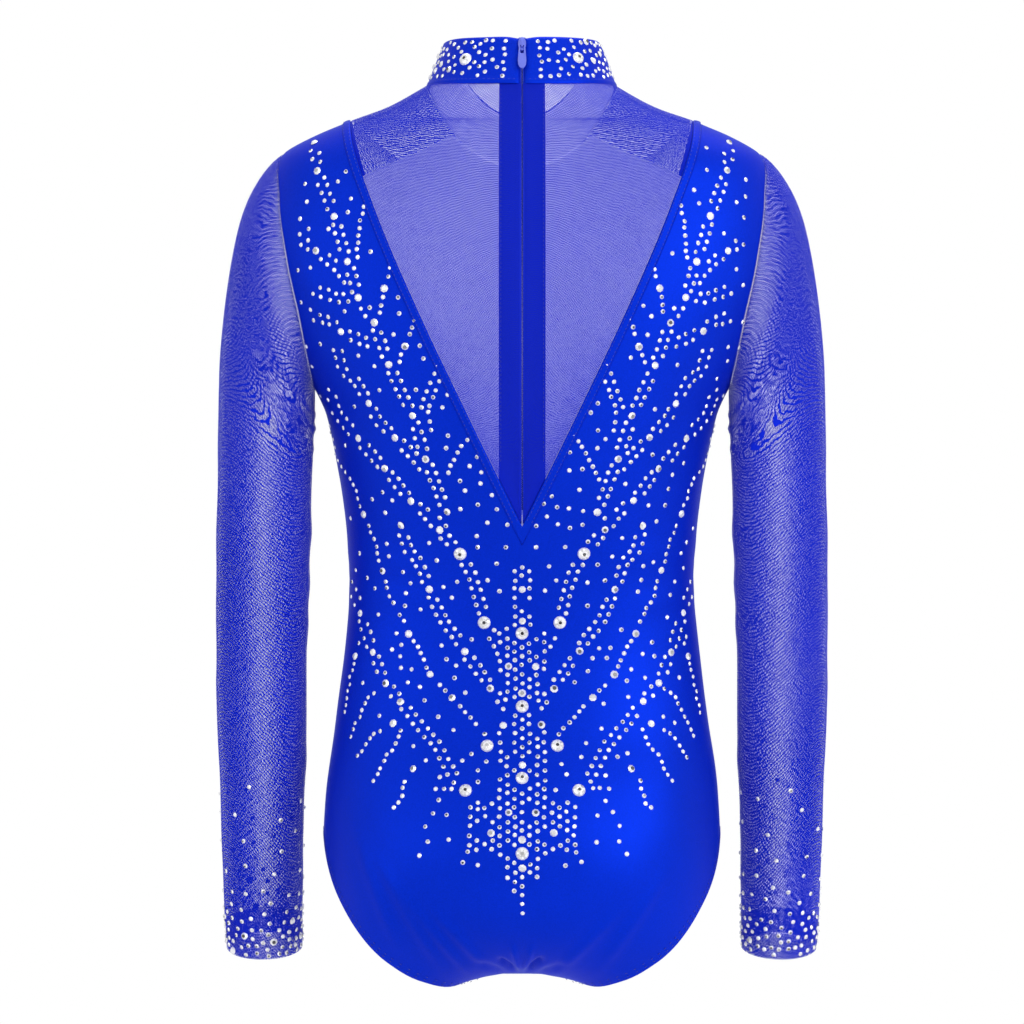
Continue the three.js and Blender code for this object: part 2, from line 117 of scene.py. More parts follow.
formShape = {
    "squareness": 0.08,
    "spine": (84, 420, 150),  # greatest depth of the back, radius of its curve, distance down
    "collarWide": (60, 49),  # half width at the foot and at the top
    "collarTop": 30,
    "armhole": (118, 70, 27.6),  # down, half height, half width in degrees
    "legTop": 474,
    "crotch": 600,
    "gussetAngle": 27,
    "backV": 274,
    "frontV": 200,
    "shoulderEdge": 23,
}
square = formShape["squareness"]
halfWidth = through([
    (0, 60), (12, 85), (25, 112), (38, 135), (50, 152), (75, 163), (110, 164), (150, 151),
    (188, 132), (200, 125.5), (222, 119.4), (260, 113.4), (311, 109), (348, 111.5), (400, 118),
    (450, 124.5), (474, 126), (512, 124), (550, 114), (580, 86), (600, 62),
])
lowBack = through([
    (274, spineDepth(-274)), (300, 58.5), (330, 54.5), (360, 55.5), (400, 65), (440, 81), (470, 90),
    (500, 91), (520, 86), (540, 76), (565, 57), (585, 37), (600, 24),
], -0.309)
frontDepth = through([
    (0, 50), (20, 60), (50, 68), (90, 76), (150, 84), (200, 86), (260, 82), (330, 77), (400, 82),
    (440, 84), (474, 80), (500, 72), (525, 60), (550, 46), (575, 34), (600, 24),
])
backHeight = through([
    (0, 0), (50, -50), (474, -474), (510, -508), (540, -534), (565, -550), (585, -557), (600, -559),
])
sideHeight = through([
    (0, 3), (12, -11), (25, -21), (38, -31), (50, -41), (75, -70), (110, -109), (150, -150),
    (188, -188), (474, -474), (512, -513), (537, -541), (550, -559), (565, -584), (580, -598),
    (592, -582), (600, -560),
])
frontHeight = through([
    (0, -42), (50, -82), (100, -116), (150, -154), (200, -200), (474, -474), (500, -500),
    (525, -523), (550, -541), (575, -553), (600, -559),
])


def ringPoint(angle, wide, back, front, backZ, sideZ, frontZ):
    # angle is 0 at the centre back, 90 at the right side, 180 at the centre front
    sin, cos = math.sin(angle * degree), math.cos(angle * degree)
    depth, middleZ = (back, backZ) if cos > 0 else (front, frontZ)
    return Vector((
        wide * sin * (1 + square * cos * cos),
        -depth * cos * (1 + square * sin * sin),
        mix(sideZ, middleZ, cos * cos),
    ))


def bodyPoint(angle, down):
    back = spineDepth(-down) if down < formShape["backV"] else lowBack(down)
    heights = backHeight(down), sideHeight(down), frontHeight(down)
    return ringPoint(angle, halfWidth(down), back, frontDepth(down), *heights)


def collarPoint(angle, down):
    up = -down
    t = up / formShape["collarTop"]
    wide, front = mix(*formShape["collarWide"], t), mix(50, 44, t)
    return ringPoint(angle, wide, spineDepth(up), front, up, mix(3, 31, t), mix(-42, -13, t))


def surfaceNormal(point, angle, down):
    across = point(angle + 0.2, down) - point(angle - 0.2, down)
    along = point(angle, down - 0.3) - point(angle, down + 0.3)
    return across.cross(along).normalized()


def angleAt(x, down):
    share = min(1, x / halfWidth(down))
    sin = share
    for _ in range(8):
        sin = (share + square * sin**3) / (1 + square)
    return math.asin(min(1, sin)) / degree


def onBodyAt(x, z, facing):
    # the angle and distance down of the body point seen at x and z; facing is -1 for the back
    down = -z
    angle = 0
    for _ in range(30):
        angle = angleAt(abs(x), down)
        if facing > 0:
            angle = 180 - angle
        down += 0.7 * (bodyPoint(angle, down).z - z)
    return (angle if x >= 0 else -angle), down


backVWidth = through([(23, 108.5), (42, 105.8), (77, 93), (147, 62.5), (222, 26), (274, 0)])
frontVWidth = through([(23, 108.5), (40, 100), (70, 84), (120, 54), (165, 25), (200, 0)])


def backV(down, aside=0):
    return angleAt(max(0, backVWidth(down) + aside), down), down


def frontV(down, aside=0):
    return 180 - angleAt(max(0, frontVWidth(down) + aside), down), down


def armhole(turn, grow=0):
    middle, tall, wide = formShape["armhole"]
    return (
        90 - (wide + grow * 0.7) * math.sin(turn * degree),
        middle - (tall + grow) * math.cos(turn * degree),
    )


backLegAngle = through([(0, 90), (0.25, 81.5), (0.5, 68.7), (0.75, 48), (0.9, 31.5), (1, 27)])
frontLegAngle = through([
    (0, 90), (0.32, 60), (0.46, 46), (0.64, 31.5), (0.78, 24), (0.9, 23), (1, 27),
])


def legDown(t):
    return mix(formShape["legTop"], formShape["crotch"], t * t)


def backLeg(t):
    return backLegAngle(t), legDown(t)


def frontLeg(t):
    return 180 - frontLegAngle(t), legDown(t)


def gussetPoint(angle, v):
    # from the back edge of the gusset at v = 0 to its front edge at 1, drawn in at the middle
    low = formShape["crotch"]
    at = bodyPoint(angle, low).lerp(bodyPoint(180 - angle, low), v)
    at.x *= 1 - 0.12 * math.sin(v * math.pi)
    at.z -= 0.6 * math.sin(v * math.pi)
    return at


def mirrored(point, side):
    return Vector((point.x * side, point.y, point.z))


armShape = {"top": -235, "cuff": -549}
armLength = armShape["top"] - armShape["cuff"]
armX = through([(-549, 166.7), (-449, 166.4), (-323, 165.3), (-235, 163.2)])
armY = through([(-549, 44), (-500, 31), (-440, 17), (-370, 5), (-300, -2), (-235, -3)])
armRadius = through([
    (-549, 24.7), (-512, 25.3), (-449, 27.1), (-386, 28.6), (-323, 29.3), (-235, 30.3),
])


def armPoint(turn, z):
    low = max(armShape["cuff"], z - 2)
    lean = math.atan2(armY(low) - armY(z + 2), z + 2 - low)
    out, back = -math.cos(turn * degree), math.sin(turn * degree)
    side = Vector((-out, -back * math.cos(lean), -back * math.sin(lean)))
    return Vector((armX(z), armY(z), z)) + side * armRadius(z)


def capPoint(turn, t):
    # from the armhole down to the top of the arm
    angle, down = armhole(turn)
    start, end = bodyPoint(angle, down), armPoint(turn, armShape["top"])
    high, around = (1 + math.cos(turn * degree)) / 2, math.sin(turn * degree)
    leave = Vector((mix(-1, 28, high) + 6 * abs(around), -5 * around,
                    mix(-15, -13, high) - 16 * abs(around)))
    arrive = Vector((0, 0, mix(16, 115, high) + 4 * abs(around)))
    s = 1 - t
    return (start * s**3 + (start + leave) * (3 * s * s * t)
            + (end + arrive) * (3 * s * t * t) + end * t**3)


def sleevePoint(turn, along):
    # turn is 0 over the shoulder, 90 behind and 180 under the arm; along is 0 to 1 on the cap
    if along <= 1:
        return capPoint(turn, max(0, along))
    return armPoint(turn, mix(armShape["top"], armShape["cuff"], along - 1))


def sleeveNormal(turn, along):
    around = sleevePoint(turn - 0.5, along) - sleevePoint(turn + 0.5, along)
    down = sleevePoint(turn, min(2, along + 0.006)) - sleevePoint(turn, max(0, along - 0.006))
    return down.cross(around).normalized()


# Folds in the cloth: from, to (x and z), half width and height, all in millimetres.
backFolds = [
    ((-15, -546), (-3, -556), 2.4, -4), ((13, -545), (2, -556), 2.4, -4.2),
    ((-6, -536), (-1, -556), 2, 1.8), ((6, -536), (1, -556), 1.9, 1.5),
    ((-28, -548), (-9, -557), 3, -2), ((27, -549), (9, -557), 3, -1.8),
    ((-20, -553), (-60, -508), 3.1, 1.6), ((-32, -557), (-82, -492), 3.1, 1.5),
    ((-48, -555), (-94, -476), 3.6, 1.3), ((-78, -538), (-106, -460), 4, 1.1),
    ((22, -554), (62, -512), 3.4, 1.4), ((48, -554), (90, -490), 3.8, 1.3),
    ((-112, -292), (-52, -306), 7, 0.8), ((-111, -318), (-60, -326), 7, 0.7),
    ((113, -288), (48, -300), 7, 0.8), ((111, -316), (64, -330), 7, 0.8),
    ((130, -186), (92, -236), 6, 1.1), ((-131, -186), (-96, -240), 6, 1.1),
    ((126, -200), (102, -262), 5, 0.8), ((-127, -202), (-106, -258), 5, 0.8),
    ((-140, -108), (-122, -150), 6, 0.6), ((141, -112), (124, -156), 6, 0.6),
]
frontFolds = [
    ((-14, -540), (-2, -556), 2.5, -1), ((14, -540), (2, -556), 2.5, -1),
    ((30, -548), (78, -498), 5, 0.8), ((-30, -548), (-80, -500), 5, 0.8),
    ((112, -300), (40, -316), 8, 0.8), ((-112, -304), (-44, -318), 8, 0.8),
    ((130, -188), (84, -232), 6, 1), ((-130, -188), (-88, -228), 6, 1),
]


def foldHeight(x, z, folds):
    total = 0
    for (ax, az), (bx, bz), wide, high in folds:
        dx, dz = bx - ax, bz - az
        length = dx * dx + dz * dz
        t = ((x - ax) * dx + (z - az) * dz) / length
        if -0.2 < t < 1.2:
            aside = abs((x - ax) * dz - (z - az) * dx) / math.sqrt(length)
            if aside < 3 * wide:
                fade = max(0, min(1, (t + 0.2) / 0.4, (1.2 - t) / 0.5))
                total += high * math.exp(-((aside / wide) ** 2)) * fade * fade
    return total


def easing(point, seed, scale, high):
    # the slight unevenness of worn cloth
    return high * noise.noise(point / scale + Vector((seed, seed * 2, 0)))


def onBody(angle, down, off=0.0, folded=True):
    point = bodyPoint(angle, down)
    normal = surfaceNormal(bodyPoint, angle, down)
    if folded:
        facing = abs((angle + 180) % 360 - 180) > 90
        off += foldHeight(point.x, point.z, frontFolds if facing else backFolds)
        off += easing(point, 3, 45, 0.7)
    return point + normal * off, normal


def onCollar(angle, up, off=0.0):
    point = collarPoint(angle, -up)
    normal = surfaceNormal(collarPoint, angle, -up)
    off += easing(point, 8, 22, 0.35)
    return point + normal * off, normal


# Folds in the sleeves: turn, along, half width in degrees and along, height in millimetres, slant.
sleeveFolds = [
    (150, 0.35, 60, 0.05, 0.8, 0.3), (160, 0.55, 55, 0.05, 0.9, 0.35),
    (150, 0.8, 60, 0.05, 0.7, 0.3), (-140, 0.5, 55, 0.05, 0.8, -0.3),
    (200, 1.16, 60, 0.03, 0.9, 0.15), (170, 1.26, 70, 0.03, 1, -0.1),
    (190, 1.34, 60, 0.03, 0.8, 0.12), (60, 1.5, 60, 0.03, 0.5, 0.15),
    (200, 1.62, 70, 0.03, 0.6, 0.1), (120, 1.78, 70, 0.025, 0.5, -0.1),
    (-60, 1.9, 80, 0.02, 0.4, 0.08),
]


def onSleeve(turn, along, off=0.0):
    point = sleevePoint(turn, along)
    normal = sleeveNormal(turn, along)
    for foldTurn, foldAlong, wide, tall, high, slant in sleeveFolds:
        aside = (turn - foldTurn + 180) % 360 - 180
        if abs(aside) < 2 * wide:
            rise = (along - foldAlong - slant * aside / 180) / tall
            if abs(rise) < 3:
                off += high * math.exp(-rise * rise - (aside / wide) ** 2)
    off += easing(point, 5, 38, 0.8) * min(1, along * 4)
    return point + normal * off, normal


print("form ready")


def addCloth(bm, columns, rows, place, flipped=False, straight=0):
    # a grid whose corner (u, v) goes to place(u, v), with the cloth's own metres as its UV map;
    # the weave is measured from the straight column
    layer = bm.loops.layers.uv.get("cloth") or bm.loops.layers.uv.new("cloth")
    made = bmesh.ops.create_grid(bm, x_segments=columns, y_segments=rows, size=0.5)["verts"]
    at = {}
    for vert in made:
        i, j = round((vert.co.x + 0.5) * columns), round((0.5 - vert.co.y) * rows)
        at[(i, j)] = vert
        vert.co = place(i / columns, j / rows) * mm
    spread, downs = {}, [0] * (columns + 1)
    for j in range(rows + 1):
        across = [0]
        for i in range(1, columns + 1):
            across.append(across[-1] + (at[(i, j)].co - at[(i - 1, j)].co).length)
        for i in range(columns + 1):
            downs[i] += (at[(i, j)].co - at[(i, j - 1)].co).length if j else 0
            spread[at[(i, j)]] = (across[i] - across[straight] + 0.2, downs[i])
    faces = list({face for vert in made for face in vert.link_faces})
    for face in faces:
        for loop in face.loops:
            loop[layer].uv = spread[loop.vert]
    if flipped:
        bmesh.ops.reverse_faces(bm, faces=faces)


def sheetFrom(columns, rows, place, straight=0):
    bm = bmesh.new()
    addCloth(bm, columns, rows, place, straight=straight)
    return bm


def twoHalves(columns, rows, place):
    # the right half and the left, joined where they meet; place(u, v, side)
    bm = bmesh.new()
    addCloth(bm, columns, rows, lambda u, v: place(u, v, 1))
    addCloth(bm, columns, rows, lambda u, v: place(u, v, -1), flipped=True)
    bmesh.ops.remove_doubles(bm, verts=bm.verts[:], dist=weld)
    return bm


def faceOut(bm, outward):
    # turns the sheet so that most of it faces the way outward(centre) points
    bm.normal_update()
    total = sum(f.normal.dot(outward(f.calc_center_median())) * f.calc_area() for f in bm.faces)
    if total < 0:
        bmesh.ops.reverse_faces(bm, faces=bm.faces[:])
    bm.normal_update()


def fromAxis(centre):
    return Vector((centre.x, centre.y, 0))


def newPiece(name, bm, material, body="garment", smooth=True):
    mesh = bpy.data.meshes.new(name)
    for face in bm.faces:
        face.smooth = smooth
    bm.to_mesh(mesh)
    bm.free()
    piece = bpy.data.objects.new(name, mesh)
    bpy.context.collection.objects.link(piece)
    mesh.materials.append(material)
    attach(piece, body)
    return piece


def clothPiece(setup, bm, material, nodes, outward=fromAxis, sheets=True):
    # a sewn piece with its own thickness, cut a little smaller than it is when worn
    faceOut(bm, outward)
    worn = sum(face.calc_area() for face in bm.faces)
    piece = newPiece(setup["name"], bm, material)
    wall = piece.modifiers.new("wall", "SOLIDIFY")
    wall.thickness = setup["thickness"] * mm
    wall.offset = 0
    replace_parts(piece, *nodes)
    if sheets:
        wide, long = setup["flat"]
        cut = worn / setup.get("stretch", 1.06)
        print(setup["name"], "worn area", round(worn, 4), "share", round(cut / wide / long, 3))
        round(min(cut, wide * long), 5)
    return piece


def crowd(u):
    # columns that crowd together at both edges
    return (1 - math.cos(math.pi * u)) / 2


def rollIn(distance, deep=0.9, wide=2.5):
    # how far an edge turns in, by the distance from it in millimetres
    return -deep * max(0, 1 - distance / wide) ** 2


class Wire:
    # an output socket that takes part in sums, with one way to add any other node
    def __init__(self, tree, socket=None):
        self.tree = tree
        self.socket = socket

    def add(self, kind, settings=None, sockets=None, out=0):
        made = self.tree.nodes.new("ShaderNode" + kind)
        for name, value in (settings or {}).items():
            if name == "stops":
                ramp = made.color_ramp.elements
                for _ in value[2:]:
                    ramp.new(0.5)
                for element, (at, color) in zip(ramp, value):
                    element.position, element.color = at, color
            else:
                setattr(made, name, value)
        for key, value in (sockets or {}).items():
            if isinstance(value, Wire):
                self.tree.links.new(value.socket, made.inputs[key])
            else:
                made.inputs[key].default_value = value
        return Wire(self.tree, made.outputs[out] if len(made.outputs) else None)

    def sums(self, operation, *values):
        return self.add("Math", {"operation": operation}, dict(enumerate(values)))

    def __add__(self, other):
        return self.sums("ADD", self, other)

    def __sub__(self, other):
        return self.sums("SUBTRACT", self, other)

    def __rsub__(self, other):
        return self.sums("SUBTRACT", other, self)

    def __mul__(self, other):
        return self.sums("MULTIPLY", self, other)

    def __truediv__(self, other):
        return self.sums("DIVIDE", self, other)

    def __gt__(self, other):
        return self.sums("GREATER_THAN", self, other)

    __radd__ = __add__
    __rmul__ = __mul__


def newMaterial(name, look, weave, constants=None):
    # weave(start, look) gives the sockets that change over the surface
    material = bpy.data.materials.new(name)
    material.use_nodes = True
    material.node_tree.nodes.clear()
    start = Wire(material.node_tree)
    shader = start.add("BsdfPrincipled", None, {**(constants or {}), **weave(start, look)})
    start.add("OutputMaterial", None, {"Surface": shader})
    material.diffuse_color = (*look["color"], 1)
    return material


def clothAxes(start):
    place = start.add("UVMap", {"uv_map": "cloth"})
    return (start.add("SeparateXYZ", None, {0: place}, out=0),
            start.add("SeparateXYZ", None, {0: place}, out=1))


def noiseAt(start, scale, detail=2.0, coords=None):
    coords = coords or start.add("TexCoord", out=3)
    return start.add("TexNoise", None, {"Vector": coords, "Scale": scale, "Detail": detail})


def blendColors(start, share, low, high):
    return start.add("Mix", {"data_type": "RGBA"}, {0: share, 6: (*low, 1), 7: (*high, 1)}, out=2)


def tones(start, share, look, low, high):
    # the look's own colour, from low to high times as light
    return blendColors(start, share, scaled(look["color"], low), scaled(look["color"], high))


def bump(start, strength, distance, height):
    return start.add("Bump", None, {"Strength": strength, "Distance": distance, "Height": height})


def ridges(start, across, pitch):
    # rounded ribs, 0 to 1
    return start.sums("SINE", across * (2 * math.pi / pitch)) * 0.5 + 0.5


def scaled(color, by):
    return tuple(min(1, value * by) for value in color)


satinLook = {
    "color": (0.0022, 0.023, 0.55),
    # the shade range spans the random grain and the painted sheen of the large patches
    "shade": (0.756, 1.26),  # the darkest and the lightest patches, as shares of the colour
    "rib": 0.00055,
    "gloss": (0.36, 0.5),
    "bump": 0.55,
}


def satinWeave(start, look):
    across, along = clothAxes(start)
    ribs = ridges(start, across, look["rib"]) * ridges(start, along, look["rib"] * 1.3)
    grain = noiseAt(start, 1100, 3.0)
    patches = noiseAt(start, 9, 3.0)
    # the tone is partly random grain and knit ribs, and partly a mottled sheen painted by the large
    # patches
    tone = grain * 0.95 + patches * 0.6 + ribs * 0.1 - 0.3
    low, high = look["gloss"]
    return {
        "Base Color": tones(start, tone, look, *look["shade"]),
        "Roughness": grain * (high - low) + low,
        "Normal": bump(start, look["bump"], 0.00012, ribs * 0.6 + grain * 0.8),
    }


satinCloth = newMaterial("royal_satin", satinLook, satinWeave, {
    "IOR": 1.5, "Specular IOR Level": 0.2, "Specular Tint": (0.005, 0.32, 1, 1),
    "Metallic": 0.42,
})

netLook = {
    "color": (0.006, 0.02, 0.62),
    "pitch": 0.00105,
    "thread": 0.32,  # the share of each pitch that is thread
    "bias": 0.52,  # the lean of the threads, in radians
    "waver": 0.0014,  # how far they wander, in metres
}


def netWeave(start, look):
    # two sets of threads on the bias, with clear holes between them
    across, along = clothAxes(start)
    lean, rise = math.sin(look["bias"]), math.cos(look["bias"])
    across = across + noiseAt(start, 220, 1.0) * look["waver"]
    along = along + noiseAt(start, 190, 1.0) * look["waver"]
    first = start.sums("FRACT", (across * rise + along * lean) / look["pitch"])
    second = start.sums("FRACT", (along * rise - across * lean) / look["pitch"])
    crests = [start.sums("ABSOLUTE", way - 0.5) * 2 for way in (first, second)]
    crest = start.sums("MAXIMUM", *crests)
    solid = crest > 1 - look["thread"]
    yarn = noiseAt(start, 1600, 2.0)
    patches = noiseAt(start, 14, 2.0)
    return {
        "Base Color": tones(start, yarn * 0.6 + patches * 0.4, look, 0.8, 1.25),
        "Alpha": solid,
        "Roughness": yarn * 0.2 + 0.5,
        "Normal": bump(start, 0.5, 0.00015, crest),
    }


netCloth = newMaterial("royal_net", netLook, netWeave, {
    "Specular IOR Level": 0.3, "Specular Tint": (0.05, 0.15, 1, 1),
})

tapeLook = {"color": (0.022, 0.04, 0.52), "rib": 0.0009}


def tapeWeave(start, look):
    across, along = clothAxes(start)
    # herringbone: the ribs turn back every few threads
    turned = start.sums("PINGPONG", across, look["rib"] * 2.5)
    ribs = ridges(start, turned + along, look["rib"])
    grain = noiseAt(start, 1500)
    return {
        "Base Color": tones(start, ribs * 0.6 + grain * 0.4, look, 0.7, 1.2),
        "Roughness": grain * 0.2 + 0.55,
        "Normal": bump(start, 0.6, 0.0002, ribs),
    }


tapeCloth = newMaterial("woven_tape", tapeLook, tapeWeave, {
    "Specular IOR Level": 0.3, "Specular Tint": (0.05, 0.2, 1, 1),
})

liningLook = {"color": (0.94, 0.93, 0.95), "rib": 0.0024, "rib share": 0.06}


def liningWeave(start, look):
    across, along = clothAxes(start)
    purl = ridges(start, along, look["rib"] * 1.4) * 0.5 + 0.5
    ribs = ridges(start, across, look["rib"]) * purl * look["rib share"]
    patches = noiseAt(start, 18, 3.0)
    fluff = noiseAt(start, 900, 2.0)
    return {
        "Base Color": tones(start, ribs + patches * 0.6 + fluff * 0.3, look, 0.9, 1),
        "Roughness": patches * 0.15 + 0.7,
        "Normal": bump(start, 0.25, 0.0002, ribs * 2 + fluff),
    }


# A little light of its own stands for the daylight that comes through the front of the garment.
liningCloth = newMaterial("pale_lining", liningLook, liningWeave, {
    "Specular IOR Level": 0.25, "Emission Color": (0.74, 0.72, 0.95, 1), "Emission Strength": 0.3,
})
elasticLook = {"color": (0.62, 0.64, 0.74), "rib": 0.0011, "rib share": 0.5}
elasticCloth = newMaterial("ribbed_elastic", elasticLook, liningWeave, {"Specular IOR Level": 0.3})

threadLook = {"color": (0.003, 0.014, 0.33), "twist": 0.12}


def threadTwist(start, look):
    twist = ridges(start, noiseAt(start, 900, 1.0), look["twist"])
    return {
        "Base Color": tones(start, twist, look, 0.7, 1.5),
        "Roughness": twist * 0.2 + 0.4,
        "Normal": bump(start, 0.4, 0.0001, twist),
    }


threadFinish = newMaterial("sewing_thread", threadLook, threadTwist, {"Sheen Weight": 0.2})

enamelLook = {"color": (0.16, 0.2, 0.82), "gloss": (0.16, 0.28)}


def enamelFinish(start, look):
    smudges = noiseAt(start, 300, 4.0)
    wear = noiseAt(start, 1400, 2.0)
    low, high = look["gloss"]
    return {
        "Base Color": tones(start, smudges, look, 0.82, 1.15),
        "Metallic": smudges * 0.2 + 0.45,
        "Roughness": smudges * (high - low) + low,
        "Normal": bump(start, 0.12, 0.00005, wear),
    }


enamel = newMaterial("blue_enamel", enamelLook, enamelFinish, {"Coat Weight": 0.4})
nylonLook = {"color": (0.003, 0.01, 0.16), "gloss": (0.5, 0.6)}
nylon = newMaterial("nylon_teeth", nylonLook, enamelFinish)

# Cut crystal: its colour is painted reflection, blended face by face by the shade from dark to
# white.
crystalLook = {"dark": (0.035, 0.035, 0.045), "color": (0.98, 0.98, 1.0)}


def crystalFinish(start, look):
    # the shade paints each face's reflection: dark where a facet stands for a dark reflection,
    # white for a bright one
    shade = start.add("Attribute", {"attribute_name": "shade"}, out=2)
    flecks = noiseAt(start, 2500, 1.0)
    return {
        "Base Color": blendColors(start, shade, look["dark"], look["color"]),
        "Metallic": 0.42 - shade * 0.17,
        "Roughness": flecks * 0.1 + 0.06,
    }


crystal = newMaterial("cut_crystal", crystalLook, crystalFinish, {"Coat Weight": 0.5})
print("materials ready")


# The satin panels: two wings beside the V that join below it, down to the crotch.
satinCut = {"flat": (0.36, 0.6), "thickness": 0.8, "grid": (74, 230)}
vTips = {-1: formShape["backV"], 1: formShape["frontV"]}
armShare, legShare = 0.32, 0.36  # of a panel's rows of faces


def panelRow(v):
    # rows 0 to 1 run beside the armhole, 1 to 2 down the side seam, 2 to 3 along the leg
    if v < 2 * armShare:
        return v / armShare
    return 2 + (v - 2 * armShare) / legShare


def panelOuter(row, facing):
    if row < 1:
        angle, down = armhole(row * 180, 0.4)
        return (angle, down) if facing < 0 else (180 - angle, down)
    if row < 2:
        return 90, mix(188.4, formShape["legTop"], row - 1)
    return frontLeg(row - 2) if facing > 0 else backLeg(row - 2)


def panelInner(row, facing):
    # down the edge of the V as far as the row that meets its tip, then down the middle
    tip, tipRow = vTips[facing], 1 if facing > 0 else 1.3
    if row < tipRow:
        down = mix(formShape["shoulderEdge"], tip, row / tipRow)
        if facing > 0:
            return max(frontV(down)[0], 90), down
        return min(backV(down)[0], 90), down
    middle = 180 if facing > 0 else 0
    if row < 2:
        return middle, mix(tip, formShape["legTop"], (row - tipRow) / (2 - tipRow))
    return middle, legDown(row - 2)


def satinPanel(name, facing, node):
    def place(u, v, side):
        row = panelRow(v)
        (a0, d0), (a1, d1) = panelInner(row, facing), panelOuter(row, facing)
        u = crowd(u)
        reach = (bodyPoint(a1, d1) - bodyPoint(a0, d0)).length
        off = rollIn((1 - u) * reach, 0.9 if row < 1 or row > 2 else 0.35, 2.2)
        return onBody(side * mix(a0, a1, u), mix(d0, d1, u), off)[0]

    bm = twoHalves(*satinCut["grid"], place)
    clothPiece({**satinCut, "name": name}, bm, satinCloth, [node])


satinPanel("satin_back", -1, "body_back")
satinPanel("satin_front", 1, "body_front")

gussetCut = {"name": "crotch_piece", "flat": (0.066, 0.05), "thickness": 0.8, "grid": (24, 16)}


def gussetPlace(u, v):
    wide = formShape["gussetAngle"]
    return gussetPoint(mix(-wide, wide, u), v)


def straightDown(centre):
    return Vector((0, 0, -1))


clothPiece(gussetCut, sheetFrom(*gussetCut["grid"], gussetPlace), satinCloth,
           ["crotch_gusset"], straightDown)

liningCut = {
    "name": "lining_front", "flat": (0.31, 0.58), "thickness": 0.6, "grid": (30, 90),
    "shoulder row": 0.45,  # above it the lining leaves the shoulder free
    "clear": 9,  # degrees that it keeps from the seams
    "bottom": 588,
    "off": -4.3,
}


def liningOuter(row, innerDown):
    shoulder, clear = liningCut["shoulder row"], liningCut["clear"]
    if row < shoulder:
        t = row / shoulder
        angle, down = panelOuter(shoulder, 1)
        return mix(138, angle + clear, t), mix(1.5, down, t * t)
    angle, down = panelOuter(row, 1)
    if row <= 2:
        return angle + clear, down
    return angle + mix(clear, 13, min(1, (row - 2) * 4)), innerDown


def liningPlace(u, v, side):
    row = mix(0, 3, v)
    legTop = formShape["legTop"]
    if row <= 2:
        innerDown = mix(1, legTop, row / 2)
    else:
        innerDown = mix(legTop, liningCut["bottom"], (row - 2) ** 2)
    angle, down = liningOuter(row, innerDown)
    return onBody(side * mix(180, angle, u), mix(innerDown, down, u), liningCut["off"], False)[0]


clothPiece(liningCut, twoHalves(*liningCut["grid"], liningPlace), liningCloth,
           ["front_lining"])

netBack = {"flat": (0.128, 0.29), "thickness": 0.25, "grid": (40, 110), "tip": 273.2, "slit": 0.36}
netFront = {"name": "net_front", "flat": (0.25, 0.23), "thickness": 0.25, "grid": (40, 80),
            "tip": 199.4}
netGap = 0.25  # between the net and the edge of the satin


def netDown(v, tip):
    # the rows come closer together towards the shoulder
    return mix(0.5, tip, v * mix(v, 1, 0.55))


def netBackPlace(u, v, side):
    down = netDown(v, netBack["tip"])
    outer = 90 if down <= formShape["shoulderEdge"] else min(backV(down, -netGap)[0], 90)
    inner = angleAt(netBack["slit"], down)
    u = crowd(u)
    off = rollIn(u * abs(outer - inner) * 2, 1.1, 1.6)
    return onBody(side * mix(inner, outer, u), down, off)[0]


def netFrontPlace(u, v, side):
    down = netDown(v, netFront["tip"])
    outer = 90 if down <= formShape["shoulderEdge"] else max(frontV(down, -netGap)[0], 90)
    return onBody(side * mix(180, outer, crowd(u)), down)[0]


for hand, side in hands:
    cut = {**netBack, "name": "net_back_" + hand}
    bm = sheetFrom(*cut["grid"], lambda u, v: netBackPlace(u, v, side))
    clothPiece(cut, bm, netCloth, ["mesh_back_" + hand])
clothPiece(netFront, twoHalves(*netFront["grid"], netFrontPlace), netCloth, ["mesh_front"])

sleeveCut = {"flat": (0.225, 0.55), "thickness": 0.25, "grid": (84, 160), "stretch": 1.05,
             "straight": 42}  # the weave is square to the column over the shoulder


# The sleeve called right, with its hem, seam and stones, lies at x < 0, where the CAD has its left
# one, and the other way round; the two are mirror images.
def sleevePlace(u, v, side):
    along = 2 * v
    at = onSleeve(-180 + 360 * u, along, rollIn(along * 60, 0.9, 2.2))[0]
    return mirrored(at, -side)


def fromArm(centre):
    # away from the middle line of the sleeve
    z = max(armShape["cuff"], min(armShape["top"], centre.z / mm))
    return fromAxis(centre - Vector((math.copysign(166, centre.x), armY(z), 0)) * mm)


for hand, side in hands:
    cut = {**sleeveCut, "name": "net_sleeve_" + hand}
    bm = sheetFrom(*cut["grid"], lambda u, v: sleevePlace(u, v, side), straight=cut["straight"])
    bmesh.ops.remove_doubles(bm, verts=bm.verts[:], dist=weld)
    clothPiece(cut, bm, netCloth, ["sleeve_" + hand], fromArm)

collarCut = {"name": "stand_collar", "flat": (0.35, 0.032), "thickness": 0.8, "grid": (180, 22),
             "open": 1.1}  # degrees each side of the zip
collarInside = {"name": "collar_facing", "flat": (0.31, 0.03), "thickness": 0.6, "grid": (120, 10),
                "open": 16}


def collarPlace(u, v):
    angle = mix(collarCut["open"], 360 - collarCut["open"], u)
    # the corners beside the zip are rounded off
    nearest = min(angle, 360 - angle)
    top = formShape["collarTop"] - 1.4 * math.exp(-((nearest / 7) ** 2))
    up = mix(top, -0.9, crowd(v))
    off = rollIn(top - up, 1.3, 1.8) + rollIn(nearest - collarCut["open"], 1, 1.6)
    # the seam along the foot: a rolled edge below a sewn groove
    off += 0.5 * math.exp(-(((up - 0.9) / 0.8) ** 2)) - 0.3 * math.exp(-(((up - 2.3) / 0.45) ** 2))
    return onCollar(angle, up, off)[0]


clothPiece(collarCut, sheetFrom(*collarCut["grid"], collarPlace), satinCloth,
           ["collar_outer"])


